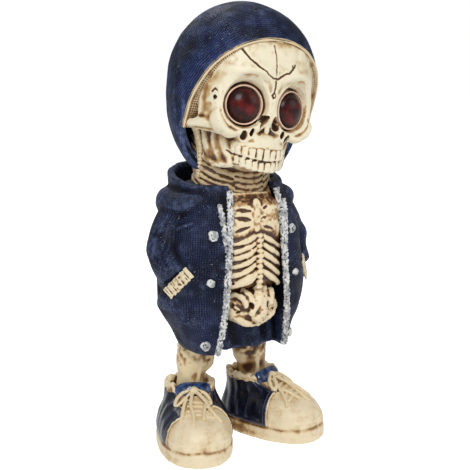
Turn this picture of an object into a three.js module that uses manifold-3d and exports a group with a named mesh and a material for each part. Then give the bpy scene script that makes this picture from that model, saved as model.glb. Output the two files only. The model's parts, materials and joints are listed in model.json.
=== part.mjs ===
// A skeleton figurine in a hooded jacket and sneakers, cast in resin and 150 mm tall.
// Millimetres, +Z up. The figure faces -Y, its right hand is on the -X side, and it stands
// on its two soles at z = 0. The casting is one solid; the two red eye lenses are set into it.
import * as THREE from 'three';
import { mergeVertices } from 'three/addons/utils/BufferGeometryUtils.js';
import Module from 'manifold-3d';

const wasm = await Module();
wasm.setup();

// Where the figure stands: its bounding box is centred over the origin.
const STAND = { x: 0, y: 0.88 };

// The head leans to the figure's left. Head points are given as (u, v, w): u to the
// figure's left, v forward out of the face, w up, from the middle of the cranium.
const HEAD = { x: 2.5, y: -2.5, z: 124.8, lean: 7, turn: 1.5 };

const HOOD = {
  halfWidth: 25.2, front: 23.3, back: 23.5, top: 25.1, drop: 34,
  sideFullness: 2.6, napeFullness: 1.6,
  rimTopV: 20.8, rimTopW: 12.4, rimTipV: 3.4, rimTipW: -15.6, rimBow: 2.4, sideEdgeV: 1.4,
  wall: 1.9, hollowBackV: -7, columns: 24, rows: 16,
};

// The skull is a stack of level rings, closer together where the face is.
const SKULL = {
  top: 22.6, columns: 28, gather: 0.58,
  levels: [-19.4, -17.2, -15, -12.8, -10.6, -8.4, -6.2, -4, -1.4, 3, 8.5, 14, 18.5, 21.2],
};
// Height, half width, front, back and front squareness of the skull's level sections.
const SKULL_SECTIONS = [
  [-19.4, 14.2, 15.0, 12, 3.0],
  [-17.4, 18.4, 16.2, 14, 3.6],
  [-15, 20.8, 16.8, 16, 4.4],
  [-10, 20.8, 17.0, 20, 4.2],
  [-5, 20.9, 19.0, 21, 3.5],
  [0, 21.2, 21.1, 21, 2.7],
  [12, 21.8, 21.4, 21, 2.2],
  [23, 22.0, 21.6, 21, 2.0],
];
// Swellings of the face: across and up from the middle, spread across and up, and rise.
const FACE_RELIEF = [
  [14.6, -15.2, 3.2, 2.4, 2.6],
  [0, -6.5, 1.9, 4.5, 1.3],
  [0, -18.4, 8, 3.0, 1.6],
  [9, 2.2, 6, 2.4, 0.8],
];

const EYE = {
  u: 9.07, v: 16.6, w: -8.7, splay: 14, facets: 16,
  rimRise: 0.5, rimReach: 8.2, rimFade: 12, browHold: 0.55,
  lens: 5.4, lensRise: 2.0, ringInside: 5.75, ringOutside: 6.2, ringRise: 1.6,
  socket: 6.75, socketMouth: 7.3, socketDepth: 1.9, gap: 0.3,
};
const NOSE = { u: 1.8, v: 17.6, w: -13.4, halfWidth: 1.35, halfDepth: 2.6, halfHeight: 3.2, lean: 16 };

// Height, half width, front, back and squareness of the upper and lower jaw, and whether
// the teeth show at that height.
const JAW_SECTIONS = [
  [-30.2, 7.8, 16.0, -3, 2.5, 0],
  [-28.4, 9.9, 18.3, -3, 2.5, 1],
  [-25.7, 10.4, 18.6, -3, 2.6, 1],
  [-25.3, 9.6, 17.6, -3, 2.6, 0],
  [-24.9, 10.7, 19.0, -3, 2.6, 1],
  [-21.0, 10.5, 18.9, -3, 2.6, 1],
  [-20.2, 10.2, 17.8, -3, 2.6, 0],
  [-14, 9.8, 16.4, -3, 2.8, 0],
];
const TEETH = { columns: 40, across: 12, spread: 76, groove: 0.55, gather: 0.62 };
const RAMUS = { u: 10.9, v: 4.6, w: -21.4, halfWidth: 2.6, halfDepth: 5.2, halfHeight: 9.0 };

// The rest of the figure is given in its own (x, y, z), before STAND moves it.
const NECK = { y: -1.8, halfWidth: 12.6, halfDepth: 10.6, low: 82, high: 101, rings: 5, ringRise: 0.7 };

// Height, half width, front y, back y and squareness of the jacket's body.
const JACKET_SECTIONS = [
  [34.4, 18.0, -14.8, 14.4, 2.6],
  [37, 19.4, -15.8, 15.4, 2.5],
  [41, 21.2, -16.2, 17.0, 2.4],
  [48, 25.2, -16.7, 18.2, 2.4],
  [56, 26.6, -17.0, 18.4, 2.4],
  [64, 25.4, -17.0, 18.2, 2.4],
  [72, 24.6, -16.8, 18.0, 2.3],
  [80, 22.4, -16.4, 17.4, 2.2],
  [86, 19.2, -15.6, 16.2, 2.2],
  [91, 16.0, -14.6, 14.0, 2.2],
];
const OPENING = { wallY: -7, hemX: 12.9, hemZ: 36, topZ: 90, steps: 5 };
// Height and half width of the front opening.
const OPENING_EDGE = [
  [36, 12.9],
  [53, 11.6],
  [73, 10.1],
  [90, 8.7],
];
const TRIM = { radius: 1.35, proud: 0.6 };
const LINING = { halfWidth: 13.2, frontY: -10.5, top: 47, bottom: 35.2 };

const COLLAR = { y: 4.4, halfWidth: 19.4, halfDepth: 16.8, wall: 2.2, backTop: 96.8, frontTop: 89.0, bottom: 82, flare: 0.9 };
const ROLL = { y: 3.4, halfWidth: 21.0, halfDepth: 13.6, backZ: 83.6, sideZ: 84.2, frontZ: 87.4, backRadius: 5.4, frontRadius: 2.6 };

// Shoulder, elbow and pocket points of the figure's left sleeve, and the sleeve's radius there.
const SLEEVE = [
  { at: [14.5, 2.4, 85.0], radius: 6.4 },
  { at: [19.6, 2.6, 79.0], radius: 7.5 },
  { at: [22.8, 3.2, 72.0], radius: 7.2 },
  { at: [24.0, 2.2, 67.0], radius: 6.6 },
  { at: [24.2, -1.6, 63.6], radius: 6.0 },
  { at: [23.8, -5.0, 60.8], radius: 5.2 },
];
// The cuff's long side climbs inwards along "across"; "out" is the way the cuff faces.
const CUFF = {
  centre: [24.2, -7.2, 59.9], across: [-5.8, -5.8, 8.3], out: [0.74, -0.64, 0.14],
  length: 11.0, width: 4.6, thickness: 3.4, ribs: 5, ribDepth: 0.5,
};
const STUDS = [[15.2, 75.3], [16.2, 60.6], [16.4, 38.4]];
const STUD = { radius: 1.55, rise: 1.1, reach: 4 };

const RIBS = {
  y: -5.6, halfWidth: 12.9, halfDepth: 12.6, low: 54.5, high: 89, columns: 20, gather: 0.55,
  count: 7, topZ: 84.2, pitch: 4.1, droop: 3.2, thickness: 2.0, depth: 1.6, spread: 72,
  sternumWidth: 3.0, spineRadius: 1.35, spineTop: 76, spineBottom: 56, spineBeads: 6,
};
const PELVIS = { y: -9.4, z: 50.6, halfWidth: 10.6, halfDepth: 8.6, halfHeight: 7.2 };
const WING = { x: 5.6, z: 52.2, radius: 4.2, thickness: 1.5, proud: 0.7, from: -30, to: 165 };

// Height, half width, half depth, outward x and y of the left leg bones.
const LEG_SECTIONS = [
  [15, 4.4, 4.6, 12.9, 7.6],
  [20, 4.1, 4.4, 12.7, 7.5],
  [25, 4.2, 4.3, 12.1, 7.4],
  [28.5, 5.2, 5.0, 11.1, 7.4],
  [32, 6.1, 5.7, 10.2, 7.2],
  [36, 5.8, 5.6, 9.8, 7.0],
  [41, 5.0, 5.2, 9.6, 6.4],
];

// Shoe points are (p, q, z): p towards the toe, q outwards, from the middle of the sole.
const SHOE = { x: 15.9, y: -0.7, splay: 19.5, halfLength: 21.1, halfWidth: 12.8, sole: 6.1, edge: 0.9 };
// Height, half width, toe, heel and squareness of the shoe's upper.
const UPPER_SECTIONS = [
  [5.6, 11.9, 19.9, -19.6, 2.6],
  [8.5, 11.8, 19.6, -19.0, 2.5],
  [11, 11.2, 18.2, -18.4, 2.4],
  [13, 10.2, 15.4, -18.0, 2.3],
  [14.6, 9.3, 10.6, -17.7, 2.3],
  [16.6, 8.6, 4.0, -17.5, 2.3],
  [19.7, 8.1, -0.8, -17.9, 2.3],
];
const ANKLE = { p: -9.2, halfLength: 7.2, halfWidth: 6.4, floor: 16.6 };
const TONGUE = { p: -1.6, z: 18.4, halfLength: 1.8, halfWidth: 5.4, halfHeight: 3.6, lean: 30 };
const LACE = { radius: 0.75, rows: 2, firstP: 0.4, lastP: 6.8, halfWidth: 4.6, fall: 1.4, proud: 0.9 };
// Side, spread and reach of each hanging end of the bow.
const LACE_TAILS = [
  [1, 7.5, 6],
  [1, 2.4, 9.5],
  [-1, 6.5, 7.5],
];
// Distance towards the toe and height along the ridge of the vamp.
const VAMP_RIDGE = [
  [-3, 19.8],
  [0, 18.5],
  [4, 16.6],
  [9, 14.9],
  [13, 13.8],
  [18, 10],
];

const RESIN = { colour: '#d9c8a0', roughness: 0.72 };
const RED_LENS = { colour: '#5a0d10', roughness: 0.12 };

const UP = new THREE.Vector3(0, 0, 1);
const SIDEWAYS = new THREE.Vector3(1, 0, 0);
const BACKWARD = new THREE.Vector3(0, 1, 0);
const rad = THREE.MathUtils.degToRad;

// Moves every point of a closed geometry, after its shared corners are joined.
function reshape(geometry, moveTo) {
  geometry.deleteAttribute('normal');
  geometry.deleteAttribute('uv');
  const welded = mergeVertices(geometry, 1e-4);
  const place = welded.getAttribute('position');
  const point = new THREE.Vector3();
  for (let i = 0; i < place.count; i += 1) {
    const moved = moveTo(point.fromBufferAttribute(place, i));
    place.setXYZ(i, moved.x, moved.y, moved.z);
  }
  return welded;
}

function placed(geometry, matrix) {
  return reshape(geometry, (point) => point.clone().applyMatrix4(matrix));
}

// The other side's copy, turned right side out again.
function mirrored(geometry) {
  const copy = geometry.clone();
  copy.scale(-1, 1, 1);
  const corners = copy.getIndex().array;
  for (let i = 0; i < corners.length; i += 3) {
    [corners[i + 1], corners[i + 2]] = [corners[i + 2], corners[i + 1]];
  }
  return copy;
}

function solid(geometry) {
  return new wasm.Manifold(new wasm.Mesh({
    numProp: 3,
    vertProperties: new Float32Array(geometry.getAttribute('position').array),
    triVerts: new Uint32Array(geometry.getIndex().array),
  }));
}

function joined(solids) {
  return solids.reduce((sum, next) => sum.add(next));
}

const bothSides = (geometry) => joined([solid(geometry), solid(mirrored(geometry))]);

// A signed power, which squares an ellipse off as the squareness rises above 2.
const squared = (value, squareness) => Math.sign(value) * Math.abs(value) ** (2 / squareness);

// A smooth value between rows that are sorted by their first number.
function between(rows, height, column) {
  const last = rows.length - 1;
  const clamped = Math.min(Math.max(height, rows[0][0]), rows[last][0]);
  let i = 0;
  while (i < last - 1 && rows[i + 1][0] < clamped) {
    i += 1;
  }
  const slope = (k) => {
    const low = rows[Math.max(k - 1, 0)];
    const high = rows[Math.min(k + 1, last)];
    return (high[column] - low[column]) / (high[0] - low[0]);
  };
  const span = rows[i + 1][0] - rows[i][0];
  const t = (clamped - rows[i][0]) / span;
  const keep = (1 + 2 * t) * (1 - t) ** 2;
  const rise = t * t * (3 - 2 * t);
  const leave = span * t * (1 - t) ** 2;
  const arrive = span * t * t * (t - 1);
  return keep * rows[i][column] + rise * rows[i + 1][column] + leave * slope(i) + arrive * slope(i + 1);
}

// A unit ball with its poles up and down, moved point by point.
function ball(columns, rows, moveTo) {
  const geometry = new THREE.SphereGeometry(1, columns, rows);
  geometry.rotateX(Math.PI / 2);
  return reshape(geometry, moveTo);
}

const ellipsoid = (centre, half, columns, rows) => ball(columns, rows, (unit) => (
  new THREE.Vector3(unit.x * half.x, unit.y * half.y, unit.z * half.z).add(centre)));

// A standing drum whose rings follow sectionAt(height share) and whose ends are flat.
function drum(columns, rows, pointAt) {
  const geometry = new THREE.CylinderGeometry(1, 1, 1, columns, rows);
  geometry.rotateX(Math.PI / 2);
  return reshape(geometry, (unit) => {
    const reach = Math.min(Math.hypot(unit.x, unit.y), 1);
    const around = Math.atan2(unit.y, unit.x);
    return pointAt(unit.z + 0.5, around, reach);
  });
}

// The angle from straight ahead, with a drum's columns gathered at the front.
function fromFront(around, gather) {
  const angle = Math.atan2(Math.cos(around), -Math.sin(around));
  return angle * (gather + (1 - gather) * (angle / Math.PI) ** 2);
}

// A level section from rows of height, half width, front, back and squareness; front is -Y.
function sectionPoint(rows, height, around, reach, forwardIsNegative) {
  const halfWidth = between(rows, height, 1);
  const front = between(rows, height, 2);
  const back = between(rows, height, 3);
  const squareness = between(rows, height, 4);
  const middle = (front + back) / 2;
  const halfDepth = Math.abs(back - front) / 2;
  const x = reach * halfWidth * squared(Math.cos(around), squareness);
  const y = middle + reach * halfDepth * squared(Math.sin(around), squareness);
  return new THREE.Vector3(x, forwardIsNegative ? y : -y, height);
}

// A bar along a curve, with its own radius at each share of the length. The curve never
// runs along "beside", the direction that keeps the bar from twisting.
function bar(curve, radiusAt, sides, steps, beside = UP) {
  return reshape(new THREE.CylinderGeometry(1, 1, 1, sides, steps), (unit) => {
    const share = unit.y + 0.5;
    const along = curve.getTangentAt(share);
    const across = along.clone().cross(beside).normalize();
    const out = across.clone().cross(along);
    const radius = radiusAt(share);
    const spot = curve.getPointAt(share);
    spot.addScaledVector(across, unit.x * radius);
    return spot.addScaledVector(out, unit.z * radius);
  });
}

const curveThrough = (points) => new THREE.CatmullRomCurve3(points.map((p) => new THREE.Vector3(...p)));

// Head

const headMatrix = new THREE.Matrix4().makeTranslation(HEAD.x, HEAD.y, HEAD.z)
  .multiply(new THREE.Matrix4().makeRotationY(rad(HEAD.lean)))
  .multiply(new THREE.Matrix4().makeRotationZ(rad(HEAD.turn)));

const headPoint = (u, v, w) => new THREE.Vector3(u, -v, w);

// The hood is round on top, full at the sides and drawn in at the nape.
function hoodShell(inset, columns, rows) {
  return ball(columns, rows, (unit) => {
    const depth = Math.abs(Math.min(unit.z, 0));
    const ring = Math.hypot(unit.x, unit.y) || 1;
    const cosine = unit.x / ring;
    const sine = unit.y / ring;
    const side = (1 - depth ** HOOD.sideFullness) ** (1 / HOOD.sideFullness);
    const nape = (1 - depth ** HOOD.napeFullness) ** (1 / HOOD.napeFullness);
    const level = unit.z > 0 ? Math.hypot(unit.x, unit.y) : 1;
    const halfDepth = sine < 0 ? HOOD.front * side : HOOD.back * nape;
    const height = unit.z * ((unit.z > 0 ? HOOD.top : HOOD.drop) - inset);
    const x = level * cosine * Math.max(HOOD.halfWidth * side - inset, 0);
    const y = level * sine * Math.max(halfDepth - inset, 0);
    return new THREE.Vector3(x, y, height);
  });
}

// The block in front of the hood's rim, seen from the side, run across the whole head.
function faceWindow() {
  const outline = new THREE.Shape();
  outline.moveTo(HOOD.sideEdgeV, -50);
  outline.lineTo(HOOD.sideEdgeV, HOOD.rimTipW - 2);
  outline.quadraticCurveTo(HOOD.sideEdgeV, HOOD.rimTipW, HOOD.rimTipV, HOOD.rimTipW);
  const middleV = (HOOD.rimTipV + HOOD.rimTopV) / 2 + HOOD.rimBow;
  const middleW = (HOOD.rimTipW + HOOD.rimTopW) / 2 - HOOD.rimBow * 0.2;
  outline.quadraticCurveTo(middleV - 1.2, middleW, HOOD.rimTopV, HOOD.rimTopW);
  outline.lineTo(HOOD.rimTopV + 8, HOOD.rimTopW + 8.5);
  outline.lineTo(60, HOOD.rimTopW + 8.5);
  outline.lineTo(60, -50);
  const block = new THREE.ExtrudeGeometry(outline, { depth: 80, bevelEnabled: false, curveSegments: 6 });
  return reshape(block, (point) => new THREE.Vector3(40 - point.z, -point.x, point.y));
}

// The face's surface: raised to a flat rim round each eye, then swollen where the relief says.
function faceV(u, v, w) {
  const side = Math.abs(u);
  const planeV = EYE.v + EYE.rimRise - Math.tan(rad(EYE.splay)) * (side - EYE.u);
  const rimV = planeV + EYE.browHold * Math.max(v - planeV, 0);
  const away = Math.hypot(side - EYE.u, w - EYE.w);
  const atRim = 1 - THREE.MathUtils.smoothstep(away, EYE.rimReach, EYE.rimFade);
  let raised = v + (rimV - v) * atRim;
  for (const [bumpU, bumpW, spreadU, spreadW, rise] of FACE_RELIEF) {
    const far = ((side - bumpU) / spreadU) ** 2 + ((w - bumpW) / spreadW) ** 2;
    raised += rise * Math.exp(-far) * (1 - atRim);
  }
  return raised;
}

function skullGeometry() {
  const rings = SKULL.levels.length - 1;
  return drum(SKULL.columns, rings, (share, around, reach) => {
    const w = SKULL.levels[Math.round(share * rings)];
    const angle = fromFront(around, SKULL.gather);
    const dome = w > 0 ? Math.sqrt(1 - (w / SKULL.top) ** 2) : 1;
    const ahead = Math.cos(angle) > 0;
    const squareness = ahead ? between(SKULL_SECTIONS, w, 4) : 2;
    const depth = between(SKULL_SECTIONS, w, ahead ? 2 : 3);
    const u = reach * dome * between(SKULL_SECTIONS, w, 1) * squared(Math.sin(angle), squareness);
    const v = reach * dome * depth * squared(Math.cos(angle), squareness);
    const overTop = share > 0.5 && reach < 0.5;
    return headPoint(u, reach > 0.5 && v > 6 ? faceV(u, v, w) : v, overTop ? SKULL.top : w);
  });
}

// The jaws stand one above the other as level rings. Where the teeth show, the ring dips
// between one tooth and the next, and the columns gather at the front.
function jawGeometry() {
  const rings = JAW_SECTIONS.length - 1;
  return drum(TEETH.columns, rings, (share, around, reach) => {
    const [w, halfWidth, front, back, squareness, teethShow] = JAW_SECTIONS[Math.round(share * rings)];
    const angle = fromFront(around, TEETH.gather);
    const pitch = (2 * rad(TEETH.spread)) / TEETH.across;
    const seam = Math.cos((Math.PI * angle) / pitch) ** 4;
    const dip = teethShow && Math.abs(angle) < rad(TEETH.spread) ? TEETH.groove * seam : 0;
    const halfDepth = (front - back) / 2;
    const u = reach * (halfWidth - dip) * squared(Math.sin(angle), squareness);
    const v = (front + back) / 2 + reach * (halfDepth - dip) * squared(Math.cos(angle), squareness);
    return headPoint(u, v, w);
  });
}

// A matrix at one eye whose local +Z looks out of the socket.
function eyeMatrix() {
  const out = headPoint(Math.sin(rad(EYE.splay)), Math.cos(rad(EYE.splay)), 0);
  const across = UP.clone().cross(out).normalize();
  const basis = new THREE.Matrix4().makeBasis(across, out.clone().cross(across), out);
  return basis.setPosition(headPoint(EYE.u, EYE.v, EYE.w));
}

// A round turned piece on the eye's axis from a half outline of radius and height.
function turned(outline, segments) {
  const profile = outline.map(([radius, height]) => new THREE.Vector2(radius, height));
  const geometry = new THREE.LatheGeometry(profile, segments);
  geometry.rotateX(Math.PI / 2);
  return geometry;
}

const socketFloor = -EYE.socketDepth;

// The socket's cut leaves a thin ring standing round the lens.
function socketCut() {
  const ringTop = socketFloor + EYE.ringRise;
  return turned([
    [0, socketFloor], [EYE.ringInside, socketFloor], [EYE.ringInside, ringTop], [EYE.ringOutside, ringTop],
    [EYE.ringOutside, socketFloor], [EYE.socket, socketFloor], [EYE.socketMouth, 3], [EYE.socketMouth, 10], [0, 10],
  ], EYE.facets);
}

function lensGeometry() {
  const low = socketFloor + EYE.gap;
  const outline = [[0, low], [EYE.lens, low]];
  for (let i = 1; i <= 3; i += 1) {
    const angle = rad(8 + (82 * i) / 3);
    outline.push([EYE.lens * Math.cos(angle), low + 0.5 + (EYE.lensRise - low - 0.5) * Math.sin(angle)]);
  }
  outline[outline.length - 1][0] = 0;
  return turned(outline, EYE.facets);
}

function headSolids() {
  const atEye = (geometry) => placed(geometry, eyeMatrix());
  const hollow = solid(hoodShell(HOOD.wall, HOOD.columns - 6, HOOD.rows - 5));
  const below = new THREE.BoxGeometry(80, 60, 40);
  below.translate(0, -30 - HOOD.hollowBackV, HOOD.rimTipW - 21);
  const hoodHollow = hollow.intersect(solid(reshape(below, (point) => point)));
  const hood = solid(hoodShell(0, HOOD.columns, HOOD.rows)).subtract(solid(faceWindow())).subtract(hoodHollow);

  let skull = solid(skullGeometry());
  skull = skull.add(solid(jawGeometry()));
  skull = skull.subtract(bothSides(atEye(socketCut())));
  const nostril = placed(
    ellipsoid(new THREE.Vector3(), new THREE.Vector3(NOSE.halfWidth, NOSE.halfDepth, NOSE.halfHeight), 8, 6),
    new THREE.Matrix4().makeTranslation(NOSE.u, -NOSE.v, NOSE.w)
      .multiply(new THREE.Matrix4().makeRotationY(-rad(NOSE.lean))),
  );
  const ramus = ellipsoid(
    headPoint(RAMUS.u, RAMUS.v, RAMUS.w),
    new THREE.Vector3(RAMUS.halfWidth, RAMUS.halfDepth, RAMUS.halfHeight), 8, 6,
  );
  skull = skull.add(bothSides(ramus)).subtract(bothSides(nostril));
  return hood.add(skull).transform(headMatrix.toArray());
}

// Neck, collar and rolled edge

function neckSolid() {
  const column = drum(12, NECK.rings * 2, (share, around, reach) => {
    const wave = NECK.ringRise * Math.cos(share * NECK.rings * 2 * Math.PI);
    const x = reach * (NECK.halfWidth + wave) * Math.cos(around);
    const y = NECK.y + reach * (NECK.halfDepth + wave) * Math.sin(around);
    return new THREE.Vector3(x, y, NECK.low + (NECK.high - NECK.low) * share);
  });
  return solid(column);
}

function collarDrum(inset, low) {
  return drum(24, 1, (share, around, reach) => {
    const backward = (1 + Math.sin(around)) / 2;
    const top = COLLAR.frontTop + (COLLAR.backTop - COLLAR.frontTop) * backward;
    const flare = COLLAR.flare * share;
    const x = reach * (COLLAR.halfWidth - inset + flare) * Math.cos(around);
    const y = COLLAR.y + reach * (COLLAR.halfDepth - inset + flare) * Math.sin(around);
    const overTop = inset > 0 ? 3 : 0;
    return new THREE.Vector3(x, y, low + (top + overTop - low) * share);
  });
}

function rollGeometry() {
  const points = [];
  for (let i = 0; i <= 12; i += 1) {
    const around = rad(-62 + (304 * i) / 12);
    const backward = (1 + Math.sin(around)) / 2;
    const sideways = Math.abs(Math.cos(around));
    const level = ROLL.frontZ + (ROLL.backZ - ROLL.frontZ) * backward;
    const z = level + (ROLL.sideZ - level) * sideways ** 2;
    points.push([ROLL.halfWidth * Math.cos(around), ROLL.y + ROLL.halfDepth * Math.sin(around), z]);
  }
  const thickness = (share) => ROLL.frontRadius + (ROLL.backRadius - ROLL.frontRadius) * Math.sin(Math.PI * share) ** 0.6;
  return bar(curveThrough(points), thickness, 7, 14);
}

// Jacket

function jacketBody() {
  const low = JACKET_SECTIONS[0][0];
  const high = JACKET_SECTIONS[JACKET_SECTIONS.length - 1][0];
  return drum(28, 9, (share, around, reach) => {
    const height = low + (high - low) * share;
    return sectionPoint(JACKET_SECTIONS, height, around, reach, true);
  });
}

// Half width of the front opening at a height.
function openingX(z) {
  return between(OPENING_EDGE, z, 1);
}

function openingCut() {
  const outline = new THREE.Shape();
  const { steps } = OPENING;
  const bottom = JACKET_SECTIONS[0][0] - 4;
  outline.moveTo(-OPENING.hemX, bottom);
  outline.lineTo(OPENING.hemX, bottom);
  for (let i = 0; i <= steps; i += 1) {
    const z = OPENING.hemZ + ((100 - OPENING.hemZ) * i) / steps;
    outline.lineTo(openingX(z), z);
  }
  for (let i = steps; i >= 0; i -= 1) {
    const z = OPENING.hemZ + ((100 - OPENING.hemZ) * i) / steps;
    outline.lineTo(-openingX(z), z);
  }
  const block = new THREE.ExtrudeGeometry(outline, { depth: 30, bevelEnabled: false });
  return reshape(block, (point) => new THREE.Vector3(point.x, OPENING.wallY - point.z, point.y));
}

// The y of the jacket's front surface at a given x and height.
function jacketFrontY(x, z) {
  const halfWidth = between(JACKET_SECTIONS, z, 1);
  const front = between(JACKET_SECTIONS, z, 2);
  const back = between(JACKET_SECTIONS, z, 3);
  const squareness = between(JACKET_SECTIONS, z, 4);
  const share = (1 - (Math.min(x, halfWidth) / halfWidth) ** squareness) ** (1 / squareness);
  return (front + back) / 2 - share * (back - front) / 2;
}

function trimGeometry() {
  const points = [];
  const low = JACKET_SECTIONS[0][0] + 0.6;
  for (let i = 0; i <= 8; i += 1) {
    const z = low + ((OPENING.topZ - low) * i) / 8;
    const x = openingX(z) + TRIM.radius * 0.5;
    points.push([x, jacketFrontY(x, z) - TRIM.proud, z]);
  }
  return bar(curveThrough(points), () => TRIM.radius, 5, 8, SIDEWAYS);
}

function sleeveGeometry() {
  const curve = curveThrough(SLEEVE.map((stop) => stop.at));
  const rows = SLEEVE.map((stop, i) => [i / (SLEEVE.length - 1), stop.radius]);
  return bar(curve, (share) => between(rows, share, 1), 9, 8, SIDEWAYS);
}

// A ribbed band that crosses the pocket's slanted mouth.
function cuffGeometry() {
  const band = new THREE.BoxGeometry(CUFF.length, CUFF.width, CUFF.thickness, CUFF.ribs * 2, 1, 1);
  const ribbed = reshape(band, (point) => {
    const column = Math.round((point.x / CUFF.length + 0.5) * CUFF.ribs * 2);
    const dip = column % 2 === 0 && point.z > 0 ? CUFF.ribDepth : 0;
    return new THREE.Vector3(point.x, point.y, point.z - dip);
  });
  const across = new THREE.Vector3(...CUFF.across).normalize();
  const along = new THREE.Vector3(...CUFF.out).cross(across).normalize();
  const out = across.clone().cross(along);
  return placed(ribbed, new THREE.Matrix4().makeBasis(across, along, out).setPosition(...CUFF.centre));
}

function studGeometry([x, z]) {
  const disc = new THREE.CylinderGeometry(STUD.radius * 0.8, STUD.radius, STUD.rise + STUD.reach, 6);
  const ahead = new THREE.Vector3(1, jacketFrontY(x + 1, z) - jacketFrontY(x, z), 0);
  const out = new THREE.Vector3(ahead.y, -ahead.x, 0).normalize();
  const matrix = new THREE.Matrix4().makeRotationFromQuaternion(
    new THREE.Quaternion().setFromUnitVectors(new THREE.Vector3(0, 1, 0), out),
  );
  const spot = new THREE.Vector3(x, jacketFrontY(x, z), z).addScaledVector(out, (STUD.rise - STUD.reach) / 2);
  return placed(disc, matrix.setPosition(spot));
}

// Rib cage, spine and pelvis

// The ribs are ridges round one drum. Each droops as it leaves the breastbone, and the
// columns gather at the front, where the ribs show.
function ribCage() {
  const rings = RIBS.count * 3 + 1;
  const cage = drum(RIBS.columns, rings, (share, around, reach) => {
    const ring = Math.round(share * rings);
    const angle = fromFront(around, RIBS.gather);
    const spread = Math.min(Math.abs(angle) / rad(RIBS.spread), 1);
    const index = Math.floor((ring - 1) / 3);
    const place = (ring - 1) % 3;
    const ribZ = RIBS.topZ - RIBS.pitch * (RIBS.count - 1 - index);
    const offset = [-RIBS.pitch / 2, -RIBS.thickness / 2, RIBS.thickness / 2][place];
    const ends = { 0: RIBS.low, [rings]: RIBS.high };
    const droop = RIBS.droop * spread ** 1.3 * Math.min(1, 0.3 + 0.25 * (RIBS.count - 1 - index));
    const z = ring in ends ? ends[ring] : ribZ + offset - droop;
    const inset = !(ring in ends) && place > 0 ? 0 : RIBS.depth;
    const x = reach * (RIBS.halfWidth - inset) * Math.sin(angle);
    const y = RIBS.y - reach * (RIBS.halfDepth - inset) * Math.cos(angle);
    return new THREE.Vector3(x, y, z);
  });
  const parts = [solid(cage)];
  const sternum = new THREE.BoxGeometry(RIBS.sternumWidth, 3, RIBS.topZ + 2.5 - RIBS.spineTop);
  sternum.translate(0, RIBS.y - RIBS.halfDepth + 1.1, (RIBS.topZ + 2.5 + RIBS.spineTop) / 2);
  parts.push(solid(reshape(sternum, (point) => point)));
  const beadPitch = (RIBS.spineTop - RIBS.spineBottom) / RIBS.spineBeads;
  for (let i = 0; i < RIBS.spineBeads; i += 1) {
    const centre = new THREE.Vector3(0, RIBS.y - RIBS.halfDepth, RIBS.spineTop - beadPitch * (i + 0.5));
    const half = new THREE.Vector3(RIBS.spineRadius, RIBS.spineRadius, beadPitch * 0.62);
    parts.push(solid(ellipsoid(centre, half, 6, 4)));
  }
  return joined(parts);
}

function pelvisSolid() {
  const bowl = ellipsoid(
    new THREE.Vector3(0, PELVIS.y, PELVIS.z),
    new THREE.Vector3(PELVIS.halfWidth, PELVIS.halfDepth, PELVIS.halfHeight), 14, 8,
  );
  const points = [];
  for (let i = 0; i <= 6; i += 1) {
    const angle = rad(WING.from + ((WING.to - WING.from) * i) / 6);
    const x = WING.x + WING.radius * Math.cos(angle);
    const z = WING.z + WING.radius * Math.sin(angle);
    const share = Math.min((x / PELVIS.halfWidth) ** 2 + ((z - PELVIS.z) / PELVIS.halfHeight) ** 2, 0.6);
    points.push([x, PELVIS.y - PELVIS.halfDepth * Math.sqrt(1 - share) - WING.proud, z]);
  }
  const wing = bar(curveThrough(points), () => WING.thickness, 5, 6, BACKWARD);
  return joined([solid(bowl), bothSides(wing)]);
}

function liningSolid() {
  const block = drum(16, 2, (share, around, reach) => {
    const x = reach * LINING.halfWidth * squared(Math.cos(around), 3);
    const bulge = LINING.frontY * (0.86 + 0.14 * Math.sin(Math.PI * share));
    const y = reach * squared(Math.sin(around), 3) * Math.abs(bulge);
    return new THREE.Vector3(x, y, LINING.bottom + (LINING.top - LINING.bottom) * share);
  });
  return solid(block);
}

// Legs and shoes

function legGeometry() {
  const low = LEG_SECTIONS[0][0];
  const high = LEG_SECTIONS[LEG_SECTIONS.length - 1][0];
  return drum(10, 6, (share, around, reach) => {
    const z = low + (high - low) * share;
    const x = between(LEG_SECTIONS, z, 3) + reach * between(LEG_SECTIONS, z, 1) * Math.cos(around);
    const y = between(LEG_SECTIONS, z, 4) + reach * between(LEG_SECTIONS, z, 2) * Math.sin(around);
    return new THREE.Vector3(x, y, z);
  });
}

// From shoe points (p, q, z) to the left shoe's place in the figure.
const toShoe = (p, q, z) => {
  const turn = rad(SHOE.splay);
  const x = SHOE.x + p * Math.sin(turn) + q * Math.cos(turn);
  const y = SHOE.y - p * Math.cos(turn) + q * Math.sin(turn);
  return new THREE.Vector3(x, y, z);
};

// A drum for the shoe: its columns run round the outline, p forward and q outward.
function shoeDrum(columns, rows, pointAt) {
  return drum(columns, rows, (share, around, reach) => {
    const { p, q, z } = pointAt(share, around, reach);
    return toShoe(p, q, z);
  });
}

function soleGeometry() {
  const levels = [0, SHOE.edge, SHOE.sole - 0.7, SHOE.sole];
  const insets = [SHOE.edge * 0.7, 0, 0, 0.5];
  return shoeDrum(24, 3, (share, around, reach) => {
    const level = Math.round(share * 3);
    const length = (SHOE.halfLength - insets[level]) * reach;
    const width = (SHOE.halfWidth - insets[level]) * reach;
    return { p: length * -squared(Math.sin(around), 2.3), q: width * squared(Math.cos(around), 2.3), z: levels[level] };
  });
}

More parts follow.
